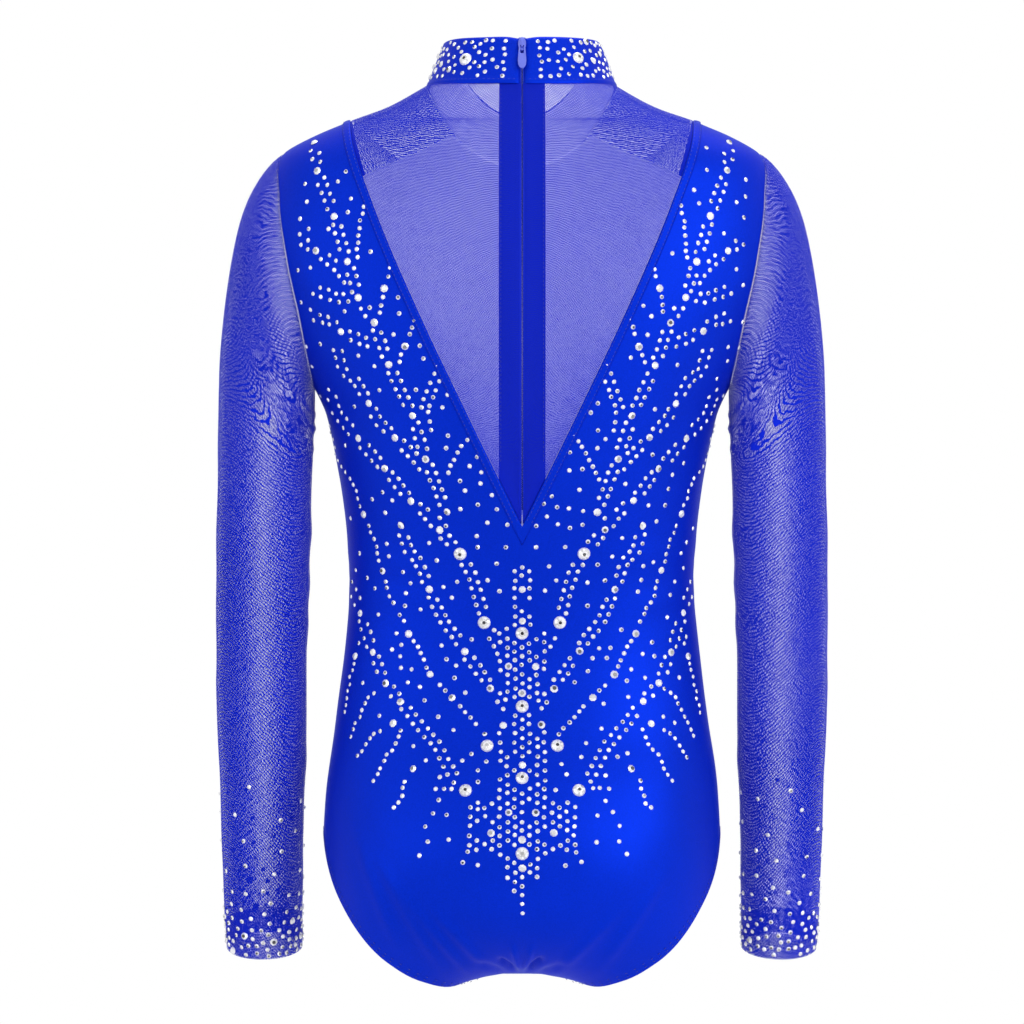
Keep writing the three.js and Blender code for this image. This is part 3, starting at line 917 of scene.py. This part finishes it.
def collarInsidePlace(u, v):
    # it reaches further down in front, over the top of the lining
    angle = mix(collarInside["open"], 360 - collarInside["open"], u)
    front = ((1 - math.cos(angle * degree)) / 2) ** 2
    return onCollar(angle, mix(29.5, mix(-0.5, -4.5, front), v), -2.2)[0]


clothPiece(collarInside, sheetFrom(*collarInside["grid"], collarInsidePlace), liningCloth,
           ["collar_lining"])
print("cloth made")


# Trims that follow a path over the form: path(t) gives a point and a normal.
def pathFrame(path, t):
    point, normal = path(t)
    ahead = path(min(1, t + 0.004))[0] - path(max(0, t - 0.004))[0]
    return point, normal, ahead.cross(normal).normalized(), ahead.normalized()


def ribbon(path, rows, width, side, off, crown=0.0, columns=6):
    frames = [pathFrame(path, j / rows) for j in range(rows + 1)]

    def place(u, v):
        point, normal, across, ahead = frames[round(v * rows)]
        rise = off + crown * (1 - (2 * u - 1) ** 2)
        return point + across * (side + (u - 0.5) * width) + normal * rise

    return sheetFrom(columns, rows, place)


def trim(name, bm, thickness, material, node):
    setup = {"name": name, "thickness": thickness}
    clothPiece(setup, bm, material, [node], sheets=False)


stitch = {"long": 1.9, "gap": 2.7, "thick": 0.42}


def addStitches(bm, path, length, side, off):
    # a row of short threads that dive into the cloth at both ends
    count = int(length / stitch["gap"])
    for k in range(count):
        point, normal, across, ahead = pathFrame(path, (k + 0.5) / count)
        middle = point + across * side + normal * off
        turn = Matrix((ahead * stitch["long"] / 2, across * stitch["thick"] / 2,
                       normal * stitch["thick"] / 2)).transposed().to_4x4()
        matrix = Matrix.Scale(mm, 4) @ Matrix.Translation(middle) @ turn
        bmesh.ops.create_icosphere(bm, subdivisions=1, radius=1, matrix=matrix)


def vLine(facing, t, aside):
    # along the V from the shoulder at t = 0 to its tip at 1, aside outwards over the satin
    width = backVWidth if facing < 0 else frontVWidth
    tip, top = vTips[facing], formShape["shoulderEdge"] + 2
    down = mix(top, tip, t)
    slope = (width(min(tip, down + 2)) - width(down - 2)) / (min(tip, down + 2) - down + 2)
    grow = math.sqrt(1 + slope * slope)
    if t >= 1:
        return 0, tip + aside * grow / abs(slope)
    return width(down) + aside / grow, down - slope * aside / grow


def onV(facing, t, aside, off, side):
    x, down = vLine(facing, t, aside)
    angle = angleAt(x, down)
    if facing > 0:
        angle = 180 - angle
    return onBody(side * angle, down, off)


facingCut = {"width": 5.2, "thickness": 0.6, "grid": (8, 90), "stitched": (1.0, 4.2)}
threads = bmesh.new()


def facingPlace(facing, u, v, side):
    # slightly domed, with its edges turned down
    middle = 2 * u - 1
    rise = 0.75 + 0.15 * (1 - middle**2) - 0.3 * (abs(middle) > 0.99)
    return onV(facing, v, mix(0, facingCut["width"], u), rise, side)[0]


for facing, name, length in ((-1, "back", 285), (1, "front", 220)):
    bm = twoHalves(*facingCut["grid"], lambda u, v, side: facingPlace(facing, u, v, side))
    trim("v_binding_" + name, bm, facingCut["thickness"], satinCloth, "v_facing_" + name)
    for side in (1, -1):
        for aside in facingCut["stitched"]:
            addStitches(threads, lambda t: onV(facing, t * 0.985, aside, 0, side), length, 0, 1.15)


def legPath(t, side=1):
    # the leg opening: down its back edge, across the gusset and up its front edge
    gussetFrom, gussetTo, seamEnd = 0.42, 0.58, 0.03
    if t < gussetFrom:
        angle, down = backLeg(mix(seamEnd, 1, t / gussetFrom))
    elif t <= gussetTo:
        at = gussetPoint(formShape["gussetAngle"], (t - gussetFrom) / (gussetTo - gussetFrom))
        return mirrored(at, side), Vector((0, 0, -1))
    else:
        angle, down = frontLeg(mix(1, seamEnd, (t - gussetTo) / gussetFrom))
    return onBody(side * angle, down)


def wristPath(turn, up, side):
    at, normal = onSleeve(turn, 2 - up / armLength)
    return mirrored(at, -side), mirrored(normal, -side)


def wristHemPlace(u, v, side):
    point, normal = wristPath(-180 + 360 * u, mix(17, 0.3, v), side)
    return point - normal * 0.9


def armholePath(t, side):
    angle, down = armhole(360 * t, 3)
    return onBody(side * angle, down)


def sleevePath(t, side):
    return wristPath(180, armLength * (2 - mix(0.12, 1.95, t)), side)


def besideZip(t, side):
    # sewn through net and tape
    down = mix(4, 235, t)
    return onBody(side * angleAt(13.2, down), down)


def sidePath(low, high):
    return lambda t, side: onBody(side * 90, mix(low, high, t))


# Each: name, path, rows, width, distance inwards of the path, rise, thickness, material, CAD part.
ribbons = [
    ("leg_hem_fold_", legPath, 120, 7, 3.9, -1.4, 0.7, satinCloth, "leg_hem_"),
    ("leg_elastic_band_", legPath, 120, 5, 4.2, -2.7, 0.7, elasticCloth, "leg_elastic_"),
    ("armhole_overlock_", armholePath, 120, 4, 0, -1.9, 0.7, tapeCloth, "armhole_seam_"),
    ("side_overlock_", sidePath(194, 466), 60, 5, 0, -1.6, 0.6, tapeCloth, "side_seam_"),
    ("shoulder_stay_", sidePath(2, 43), 16, 6, 0, -2.2, 0.6, netCloth, "shoulder_tape_"),
    ("sleeve_overlock_", sleevePath, 80, 3, 0, -1.4, 0.5, netCloth, "sleeve_seam_"),
]
for hand, side in hands:
    for name, path, rows, width, inwards, rise, thickness, material, node in ribbons:
        bm = ribbon(lambda t: path(t, side), rows, width, inwards * side, rise)
        trim(name + hand, bm, thickness, material, node + hand)
    trim("wrist_hem_fold_" + hand, sheetFrom(72, 8, lambda u, v: wristHemPlace(u, v, side)),
         0.5, netCloth, "wrist_hem_" + hand)
    for inwards in (3.4, 6.2):
        addStitches(threads, lambda t: legPath(t, side), 330, inwards * side, 0.5)
    for up in (8.6, 10.4):
        addStitches(threads, lambda t: wristPath(-180 + 360 * t, up, side), 160, 0, 0.35)
addStitches(threads, lambda t: onCollar(mix(3, 357, t), 1.7), 330, 0, 0.5)
for side in (1, -1):
    addStitches(threads, lambda t: besideZip(t, side), 232, 0, 0.4)
newPiece("topstitching", threads, threadFinish)
print("trims made")


zipSetup = {
    "top": 29, "bottom": -264, "pitch": 1.25,
    "tape": 14.5, "tapeEnd": -272.5, "slit": 0.3, "columns": 20, "rows": 150, "thickness": 0.4,
    "tooth": (0.29, 0.6, 2.1),  # half along the zip, half outwards, and across it
    "toothAside": 0.8, "toothOff": -2, "stagger": 0.62,
}


def onZip(x, z, off):
    if z > 0:
        wide = mix(*formShape["collarWide"], z / formShape["collarTop"])
        angle = math.asin(x / wide / (1 + square)) / degree
        return onCollar(angle, z, off)
    return onBody(angleAt(abs(x), -z) * (1 if x > 0 else -1), -z, off)


def addTooth(bm, z, side):
    x, off = zipSetup["toothAside"] * side, zipSetup["toothOff"]
    point, normal = onZip(x, z, off)
    ahead = (onZip(x, z - 1, off)[0] - point).normalized()
    across = ahead.cross(normal).normalized()
    long, high, wide = zipSetup["tooth"]
    turn = Matrix((ahead * long, normal * high, across * wide)).transposed().to_4x4()
    bmesh.ops.create_cone(bm, cap_ends=True, segments=6, radius1=1, radius2=1, depth=1,
                          matrix=Matrix.Scale(mm, 4) @ Matrix.Translation(point) @ turn)


def tapePlace(u, v, side):
    # the inner edge of the tape rolls outwards over the teeth and hides them
    x = mix(zipSetup["slit"], zipSetup["tape"], crowd(u))
    z = mix(zipSetup["top"], zipSetup["tapeEnd"], v)
    t = max(0, min(1, (x - 2.3) / 1.8))
    return onZip(side * x, z, mix(-0.85, -1.9, t * t * (3 - 2 * t)))[0]


for hand, side in hands:
    bm = sheetFrom(zipSetup["columns"], zipSetup["rows"], lambda u, v: tapePlace(u, v, side))
    trim("zip_tape_cloth_" + hand, bm, zipSetup["thickness"], tapeCloth, "zip_tape_" + hand)
    teeth = bmesh.new()
    z = zipSetup["top"] - 1.4
    while z > zipSetup["bottom"] + 0.3:
        addTooth(teeth, z - (zipSetup["stagger"] if side < 0 else 0), side)
        z -= zipSetup["pitch"]
    coil = newPiece("zip_teeth_" + hand, teeth, nylon, smooth=False)
    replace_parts(coil, "zip_coil_" + hand)


sharpAngle = 0.6


def refined(name, node, body, softness):
    # the same solid with its sharp edges rounded by softness in millimetres
    bm = bmesh.new()
    bm.from_mesh(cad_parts[node].data)
    bmesh.ops.remove_doubles(bm, verts=bm.verts[:], dist=0.000001)
    bmesh.ops.dissolve_limit(bm, angle_limit=0.02, verts=bm.verts[:], edges=bm.edges[:])
    bm.normal_update()
    sharp = [edge for edge in bm.edges
             if len(edge.link_faces) == 2 and edge.calc_face_angle() > sharpAngle]
    bmesh.ops.bevel(bm, geom=sharp, offset=softness * mm, offset_type="OFFSET", affect="EDGES",
                    segments=2, profile=0.5, material=-1, clamp_overlap=True)
    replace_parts(newPiece(name, bm, enamel, body=body), node)


refined("slider_body", "zip_slider", "slider", 0.12)
refined("teardrop_tab", "pull_tab", "tab", 0.3)
for node in ("zip_top_stop_right", "zip_top_stop_left", "zip_bottom_stop"):
    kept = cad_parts[node]
    kept.data.materials.clear()
    kept.data.materials.append(enamel)
print("zip made")


# Stones on the back, as (distance from the middle, distance down, size); 2 is medium, 3 is large.
doubleStrands = [
    [(130.4, 35.9, 2), (127.9, 54.8, 2), (116.8, 83.8, 2), (108.4, 112.5, 2), (101.4, 134.8, 2),
     (91.6, 150.6, 2), (82.5, 177, 2), (68, 208.5, 2), (59.6, 235, 2), (46.8, 267.9, 2),
     (51.4, 279, 2), (38.3, 293.8), (30.9, 307.7), (22.8, 337), (7.9, 364.4, 2)],
    [(136.7, 98.9), (128.2, 105, 2), (113, 117.3), (101.4, 134.8)],
    [(129, 129.5), (114.7, 134.7), (101.4, 134.8)],
    [(129, 146), (118.8, 149.3), (112.5, 155.5, 2), (99.7, 161.3), (85.3, 165.8), (82.5, 177)],
    [(115.3, 165.8), (111.6, 180), (103.6, 185.7), (95.3, 200.5, 2), (90.7, 209.8),
     (78.7, 221.8, 2), (66.2, 234.7), (54.7, 248.2), (46.8, 268)],
    [(124.9, 191.9), (119.4, 194.9), (115, 207), (101.9, 221.8, 2), (92.1, 233.7), (85, 241, 2),
     (75.6, 252.9), (69.3, 261, 2), (59.9, 268.4), (51.4, 279)],
    [(75.6, 276.4, 2), (70.6, 292.3), (63.9, 299.3), (58, 316.4, 2), (48.7, 336.9), (39.7, 347.6),
     (35.8, 355, 2), (23.5, 371.6), (20, 378, 2), (7.6, 391)],
    [(110, 311), (103.7, 323.5), (101.6, 331.8, 2), (97.2, 344.8), (93.5, 356.3, 2),
     (85.5, 375.5, 2), (75.8, 386.4, 2), (63.6, 401.2), (52.9, 412.3), (44.1, 429.3), (34.4, 441),
     (21.9, 452.9), (10, 453)],
    [(49.9, 178.8), (56.8, 193.5), (60.7, 206), (58.6, 221)],
]
singleStrands = [
    [(120.8, 213), (115, 237.4), (107.1, 247.1), (99.5, 269.3, 2), (91.2, 289.6), (87.2, 304.7, 2),
     (82.7, 320.2), (73.7, 335.8), (70.9, 344.3, 2), (64.3, 353.4), (57.5, 369.7, 2),
     (43.9, 383.6, 2), (31.6, 396.5), (25.2, 403.8), (6, 425)],
    [(104.6, 358.9, 2), (106, 364.2), (107.9, 373.4), (109.7, 382.2), (112, 395.6)],
    [(85.5, 375.5), (92.4, 381), (97.2, 385), (100.2, 393.8), (104.1, 400.7), (108.6, 412.3)],
    [(80.6, 400, 2), (86.3, 404.4), (92.1, 405.8), (95.6, 410.8), (104, 422.4)],
    [(75, 404), (78.1, 413), (84.3, 419.9), (90.8, 432.6), (94.6, 439)],
    [(67.9, 427.5, 2), (72.5, 432.6), (74.6, 442.9), (76, 448.3), (82.3, 455)],
    [(97.6, 73.7), (100.8, 88.8), (101.4, 100.8), (102.7, 110.3)],
    [(80.2, 113), (85.3, 129.5, 2), (87.7, 145.4), (91.6, 150.6)],
    [(66.6, 149.3), (72.3, 165.8, 2), (78.7, 180)],
    [(31.8, 220), (36.7, 226.8), (43.1, 237.6), (50.4, 256)],
]
looseStones = [
    (66, 395), (70, 393), (75, 394), (66, 400), (71, 399), (67, 406), (72, 405), (76, 400),
    (98, 349), (102, 351), (99, 355), (104, 347), (88.6, 395.8), (51.5, 431.7), (52.9, 438.6),
    (48.7, 438.6), (43.6, 439), (55.8, 453.6), (59.9, 461.7), (58.8, 470.6), (63.6, 479.2),
    (46, 455.1), (45.4, 470.6), (52.1, 446.7), (124, 62), (134, 74), (120, 92), (139, 84),
    (35, 255), (19, 258), (22, 275), (9, 276), (37.6, 267), (9.4, 290), (27.5, 289), (16, 301),
    (22, 311), (14, 317), (37, 483), (33.4, 477.4), (27.2, 485.3),
]
middleStones = {
    "large": [343.7, 389, 432.5, 478],
    "medium": [(0, 316), (0, 335.8), (0, 381), (0, 425), (0, 469.4), (0, 487.2), (8.4, 364.3),
               (11.7, 400.4), (8.4, 453.4), (19.3, 465.7)],
    "large pairs": [(38.5, 294), (23.6, 337), (21.8, 413), (35, 440)],
    # half width of the field of small stones, by the distance down
    "field": [(300, 0), (304, 5), (330, 6), (338, 8), (344, 14), (352, 16), (364, 15), (375, 11),
              (385, 8), (395, 9), (401, 14), (415, 15.5), (421, 13), (425, 16), (446, 16.5),
              (448, 32), (473, 32), (476, 30), (479, 13), (487, 12.5), (494, 13.5), (497, 6),
              (503, 6), (505, 1), (514, 0)],
    "rows": (302, 519, 2.8),  # from, to, and how far apart
    "columns": 9.2,
}
stoneSizes = {1: 1.5, 2: 2.5, 3: 4.1}  # radii
stoneLook = {
    "lift": 0.36, "height": 0.5, "table": 0.5, "sides": 8, "tilt": 0.1,
    "strand": {"pitch": 2.75, "half": 2.5, "single": 4.6}, "apart": 0.75,
}
chance = random.Random(11)


def along(strand, pitch):
    # evenly spaced spots on a broken line, with the direction there
    spots, left = [], 0
    for (x0, y0, *_), (x1, y1, *_) in zip(strand, strand[1:]):
        length = math.hypot(x1 - x0, y1 - y0)
        ux, uy = (x1 - x0) / length, (y1 - y0) / length
        while left <= length:
            spots.append((x0 + ux * left, y0 + uy * left, ux, uy))
            left += pitch
        left -= length
    return spots


class Field:
    # stones laid flat, none too near another; cells of 9 mm keep the search short
    cell = 9

    def __init__(self):
        self.stones = []
        self.cells = {}

    def cellOf(self, x, y):
        return int(x // self.cell), int(y // self.cell)

    def near(self, x, y):
        i, j = self.cellOf(x, y)
        for a in (i - 1, i, i + 1):
            for b in (j - 1, j, j + 1):
                yield from self.cells.get((a, b), ())

    def lay(self, x, y, size=1, apart=None, shown=True):
        apart = stoneLook["apart"] if apart is None else apart
        for ox, oy, other in self.near(x, y):
            if math.hypot(x - ox, y - oy) < stoneSizes[size] + stoneSizes[other] + apart:
                return False
        self.cells.setdefault(self.cellOf(x, y), []).append((x, y, size))
        if shown:
            self.stones.append((x, y, size))
        return True


def wobble(size=0.35):
    return chance.uniform(-size, size)


def layMiddle(field):
    # the field of small stones down the middle, in rows that are staggered
    down, end, apart = middleStones["rows"]
    column = middleStones["columns"]
    odd = False
    while down < end:
        half = between(middleStones["field"], down)
        if half < 1.5:
            field.lay(wobble(0.2), down, 1, 0.3)
        else:
            x = column / 2 if odd else 0
            while x <= half + 0.4:
                for side in ((1, -1) if x else (1,)):
                    if chance.random() < 0.93:
                        field.lay(side * x + wobble(0.45), down + wobble(0.45), 1, 0.35)
                x += column
        odd = not odd
        down += apart


def bodyField(facing):
    # the stones of the back or of the front; the back's large ones are pieces of their own
    field = Field()
    width, tip = backVWidth if facing < 0 else frontVWidth, vTips[facing]
    largeShown = facing > 0
    for down in middleStones["large"]:
        field.lay(0, down, 3, shown=largeShown)
    for x, down in middleStones["large pairs"]:
        for side in (1, -1):
            field.lay(side * x, down, 3, shown=largeShown)
    for x, down in middleStones["medium"]:
        for side in ((1, -1) if x else (1,)):
            field.lay(side * x, down, 2, 0.2)

    def sewable(x, down):
        return down > tip + 8 or abs(x) > width(down) + 3.4

    for side in (1, -1):
        for strand in doubleStrands + singleStrands:
            for x, down, *size in strand:
                if size and sewable(x, down):
                    field.lay(side * x, down, size[0], 0.3)
    layMiddle(field)
    strandLook = stoneLook["strand"]
    for side in (1, -1):
        for strand in doubleStrands:
            for k, (x, y, ux, uy) in enumerate(along(strand, strandLook["pitch"])):
                aside = strandLook["half"] * (1 if k % 2 else -1)
                x, y = x - uy * aside + wobble(), y + ux * aside + wobble()
                if sewable(x, y):
                    field.lay(side * x, y)
        for strand in singleStrands:
            for x, y, ux, uy in along(strand, strandLook["single"]):
                if sewable(x, y):
                    field.lay(side * x + wobble(0.6), y + wobble(0.5))
        for x, y in looseStones:
            field.lay(side * x + wobble(0.8), y + wobble(0.8))
    # odd stones between the strands
    for _ in range(2200):
        x, y = chance.uniform(-140, 140), chance.uniform(40, 470)
        edge = halfWidth(y) * 0.97
        inner = width(y) + 7 if y < tip else max(0, 26 - 0.12 * (y - tip))
        low = mix(455, 395, min(1, abs(x) / 110))
        if inner < abs(x) < edge and y < low:
            field.lay(x, y, 1, 3.5)
    return field.stones


def faceAt(point, normal, tilt):
    # an upright for a stone, leaning a little at random, with a random turn
    lean = Vector((chance.gauss(0, tilt), chance.gauss(0, tilt), chance.gauss(0, tilt)))
    turn = (normal + lean).to_track_quat("Z", "Y").to_matrix().to_4x4()
    return Matrix.Translation(point) @ turn @ Matrix.Rotation(chance.uniform(0, 6.3), 4, "Z")


def addStone(bm, shade, point, normal, radius, cut=False):
    # a flat-backed cut stone: a crown of facets round a flat table, each face with a painted
    # reflection or glint in its shade
    sides = 14 if cut else stoneLook["sides"]
    high = radius * stoneLook["height"]
    first = 0.55 * high if cut else high
    top = 0.86 if cut else stoneLook["table"]
    seat = point + normal * (stoneLook["lift"] + first / 2)
    matrix = Matrix.Scale(mm, 4) @ faceAt(seat, normal, 0.02 if cut else stoneLook["tilt"])
    made = bmesh.ops.create_cone(bm, cap_ends=True, cap_tris=False, segments=sides, radius1=radius,
                                 radius2=radius * top, depth=first, matrix=matrix)["verts"]
    faces = {face for vert in made for face in vert.link_faces}
    caps = sorted((f for f in faces if len(f.verts) == sides), key=lambda f: f.calc_area())
    # painted glints: each facet a little lighter or darker at random
    for face in faces:
        face[shade] = chance.uniform(0.8, 1)
    table = caps[0]
    if cut:
        # the rings of facets inset into a large stone's table, each with a painted glint or darker
        # reflection
        for inset, rise in ((0.34, 0.45), (0.13, 0.02), (0.12, -0.03)):
            rim = bmesh.ops.inset_individual(
                bm, faces=[table], thickness=inset * radius * mm, depth=rise * high * mm,
                use_even_offset=True)["faces"]
            for face in rim:
                face[shade] = chance.uniform(0.55, 1)
        # painted reflection: the innermost face of a large stone's table is dark or grey
        table[shade] = chance.choice((0, 0.05, 0.5))
    else:
        # painted reflection: a small stone's table from dark to bright
        table[shade] = chance.choice((0.05, 0.2, 0.4, 0.65, 0.8, 0.95))


def stonePiece(name, spots, nodes=(), cut=False):
    # spots are (point, normal, radius)
    bm = bmesh.new()
    # each face carries a shade that paints its reflection into the crystal colour
    shade = bm.faces.layers.float.new("shade")
    for point, normal, radius in spots:
        addStone(bm, shade, point, normal, radius, cut or radius > 3.5)
    piece = newPiece(name, bm, crystal, smooth=False)
    if nodes:
        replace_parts(piece, *nodes)
    return piece


for facing, name in ((-1, "back"), (1, "front")):
    spots = []
    for x, down, size in bodyField(facing):
        angle, at = onBodyAt(x, -down, facing)
        if (90 - abs(angle)) * facing > -1:
            continue  # too near the side seam
        point, normal = onBody(angle, at)
        spots.append((point, normal, stoneSizes[size] * chance.uniform(0.94, 1.06)))
    stonePiece("stones_small_" + name, [spot for spot in spots if spot[2] < 2])
    stonePiece("stones_medium_" + name, [spot for spot in spots if spot[2] >= 2])
    print("stones on the", name, len(spots))

largeSpots = [("centre_%d" % (i + 1), 0, down) for i, down in enumerate(middleStones["large"])]
for i, (x, down) in enumerate(middleStones["large pairs"]):
    largeSpots += [("right_%d" % (i + 1), x, down), ("left_%d" % (i + 1), -x, down)]
for label, x, down in largeSpots:
    point, normal = onBody(*onBodyAt(x, -down, -1))
    stonePiece("large_stone_" + label, [(point, normal, stoneSizes[3])],
               ["rhinestone_back_" + label], cut=True)

cuffStones = {"tries": 4600, "dense": 26, "fade": 120, "round": 158}


def cuffField():
    field = Field()
    for _ in range(cuffStones["tries"]):
        up = chance.uniform(2.2, cuffStones["fade"])
        across = chance.uniform(0, cuffStones["round"])
        share = max(0, (up - cuffStones["dense"]) / (cuffStones["fade"] - cuffStones["dense"]))
        apart = 1.0 + 17 * share**0.8 + 0.045 * up
        if chance.random() < (1 - share) ** 2:
            field.lay(across, up, 2 if chance.random() < 0.09 and up < 60 else 1, apart)
    return field.stones


for hand, side in hands:
    spots = []
    for across, up, size in cuffField():
        point, normal = wristPath(360 * across / cuffStones["round"], up, side)
        spots.append((point, normal, stoneSizes[size] * chance.uniform(0.94, 1.06)))
    stonePiece("stones_cuff_" + hand, spots)
    print("stones on a cuff", len(spots))

collarStones = {
    "round": 340, "plain": 9.5, "tries": 2600,
    "large": [(36, 16), (304, 15), (110, 16), (230, 17), (170, 14)],
}


def collarField():
    field = Field()
    for place, up in collarStones["large"]:
        field.lay(place, up, 3, 0.3)
    low, high = collarStones["plain"], collarStones["round"] - collarStones["plain"]
    for edge in (low + 1, high - 1):
        for k in range(6):
            field.lay(edge + wobble(0.8), 3.6 + k * 4.6 + wobble(0.5), 1, 0.3)
    for _ in range(collarStones["tries"]):
        place = chance.uniform(low + 3, high - 3)
        size = 2 if chance.random() < 0.12 else 1
        field.lay(place, chance.uniform(3.4, 27.4), size, 1.35)
    return field.stones


spots = []
for place, up, size in collarField():
    # the collar is wider across than deep, so equal steps of angle are near enough
    point, normal = onCollar(360 * place / collarStones["round"], up)
    spots.append((point, normal, stoneSizes[size] * chance.uniform(0.92, 1.05)))
stonePiece("stones_collar", spots)
print("stones on the collar", len(spots))


# A plain pale studio: white behind the object, darker where the camera stands.
studio = {
    "floor": -0.8,
    "around": 0.72,
    "camera side": 0.25,
    "aim": (0, 0, -0.28),
    "lights": [
        {"name": "key", "place": (1.7, -1.9, 0.5), "size": 1.5, "power": 30},
        {"name": "fill", "place": (-1.9, -1.7, 0.1), "size": 1.5, "power": 10},
        {"name": "top", "place": (0.2, 0.5, 1.7), "size": 1.3, "power": 12},
    ],
}


def floorPaper(start, look):
    return {"Base Color": tones(start, noiseAt(start, 3), look, 0.98, 1)}


def makeWorld(setup):
    world = bpy.data.worlds.new("studio")
    bpy.context.scene.world = world
    world.use_nodes = True
    world.node_tree.nodes.clear()
    start = Wire(world.node_tree)
    way = start.add("TexCoord", out=0)
    toCamera = start.add("VectorMath", {"operation": "DOT_PRODUCT"},
                         {0: way, 1: (0.0, -1.0, 0.0)}, out=1)
    height = start.add("SeparateXYZ", None, {0: way}, out=2)
    dark = start.add("MapRange", {"interpolation_type": "SMOOTHSTEP"},
                     {"Value": toCamera, "From Min": 0.94, "From Max": 0.985})
    strength = (height * 0.2 + setup["around"]) * (1 - dark * (1 - setup["camera side"]))
    # seen straight on it is plain white
    seen = start.add("LightPath", out=0)
    strength = strength * (1 - seen) + seen
    shine = start.add("Background", None, {"Color": (1, 1, 1, 1), "Strength": strength})
    start.add("OutputWorld", None, {"Surface": shine})


def makeLights(setup):
    for light in setup["lights"]:
        data = bpy.data.lights.new(light["name"], "AREA")
        data.size = light["size"]
        data.energy = light["power"]
        lamp = bpy.data.objects.new(light["name"], data)
        lamp.location = light["place"]
        aim = Vector(setup["aim"]) - lamp.location
        lamp.rotation_euler = aim.to_track_quat("-Z", "Y").to_euler()
        bpy.context.collection.objects.link(lamp)


def makeFloor(setup):
    bm = bmesh.new()
    bmesh.ops.create_grid(bm, x_segments=1, y_segments=1, size=1.5,
                          matrix=Matrix.Translation((0, 0, setup["floor"])))
    mesh = bpy.data.meshes.new("floor")
    bm.to_mesh(mesh)
    bm.free()
    floor = bpy.data.objects.new("floor", mesh)
    bpy.context.collection.objects.link(floor)
    look = {"color": (0.82, 0.82, 0.83)}
    mesh.materials.append(newMaterial("floor_paper", look, floorPaper, {"Roughness": 0.9}))


makeWorld(studio)
makeLights(studio)
makeFloor(studio)
bpy.context.scene.view_settings.view_transform = "Standard"
print("studio ready")
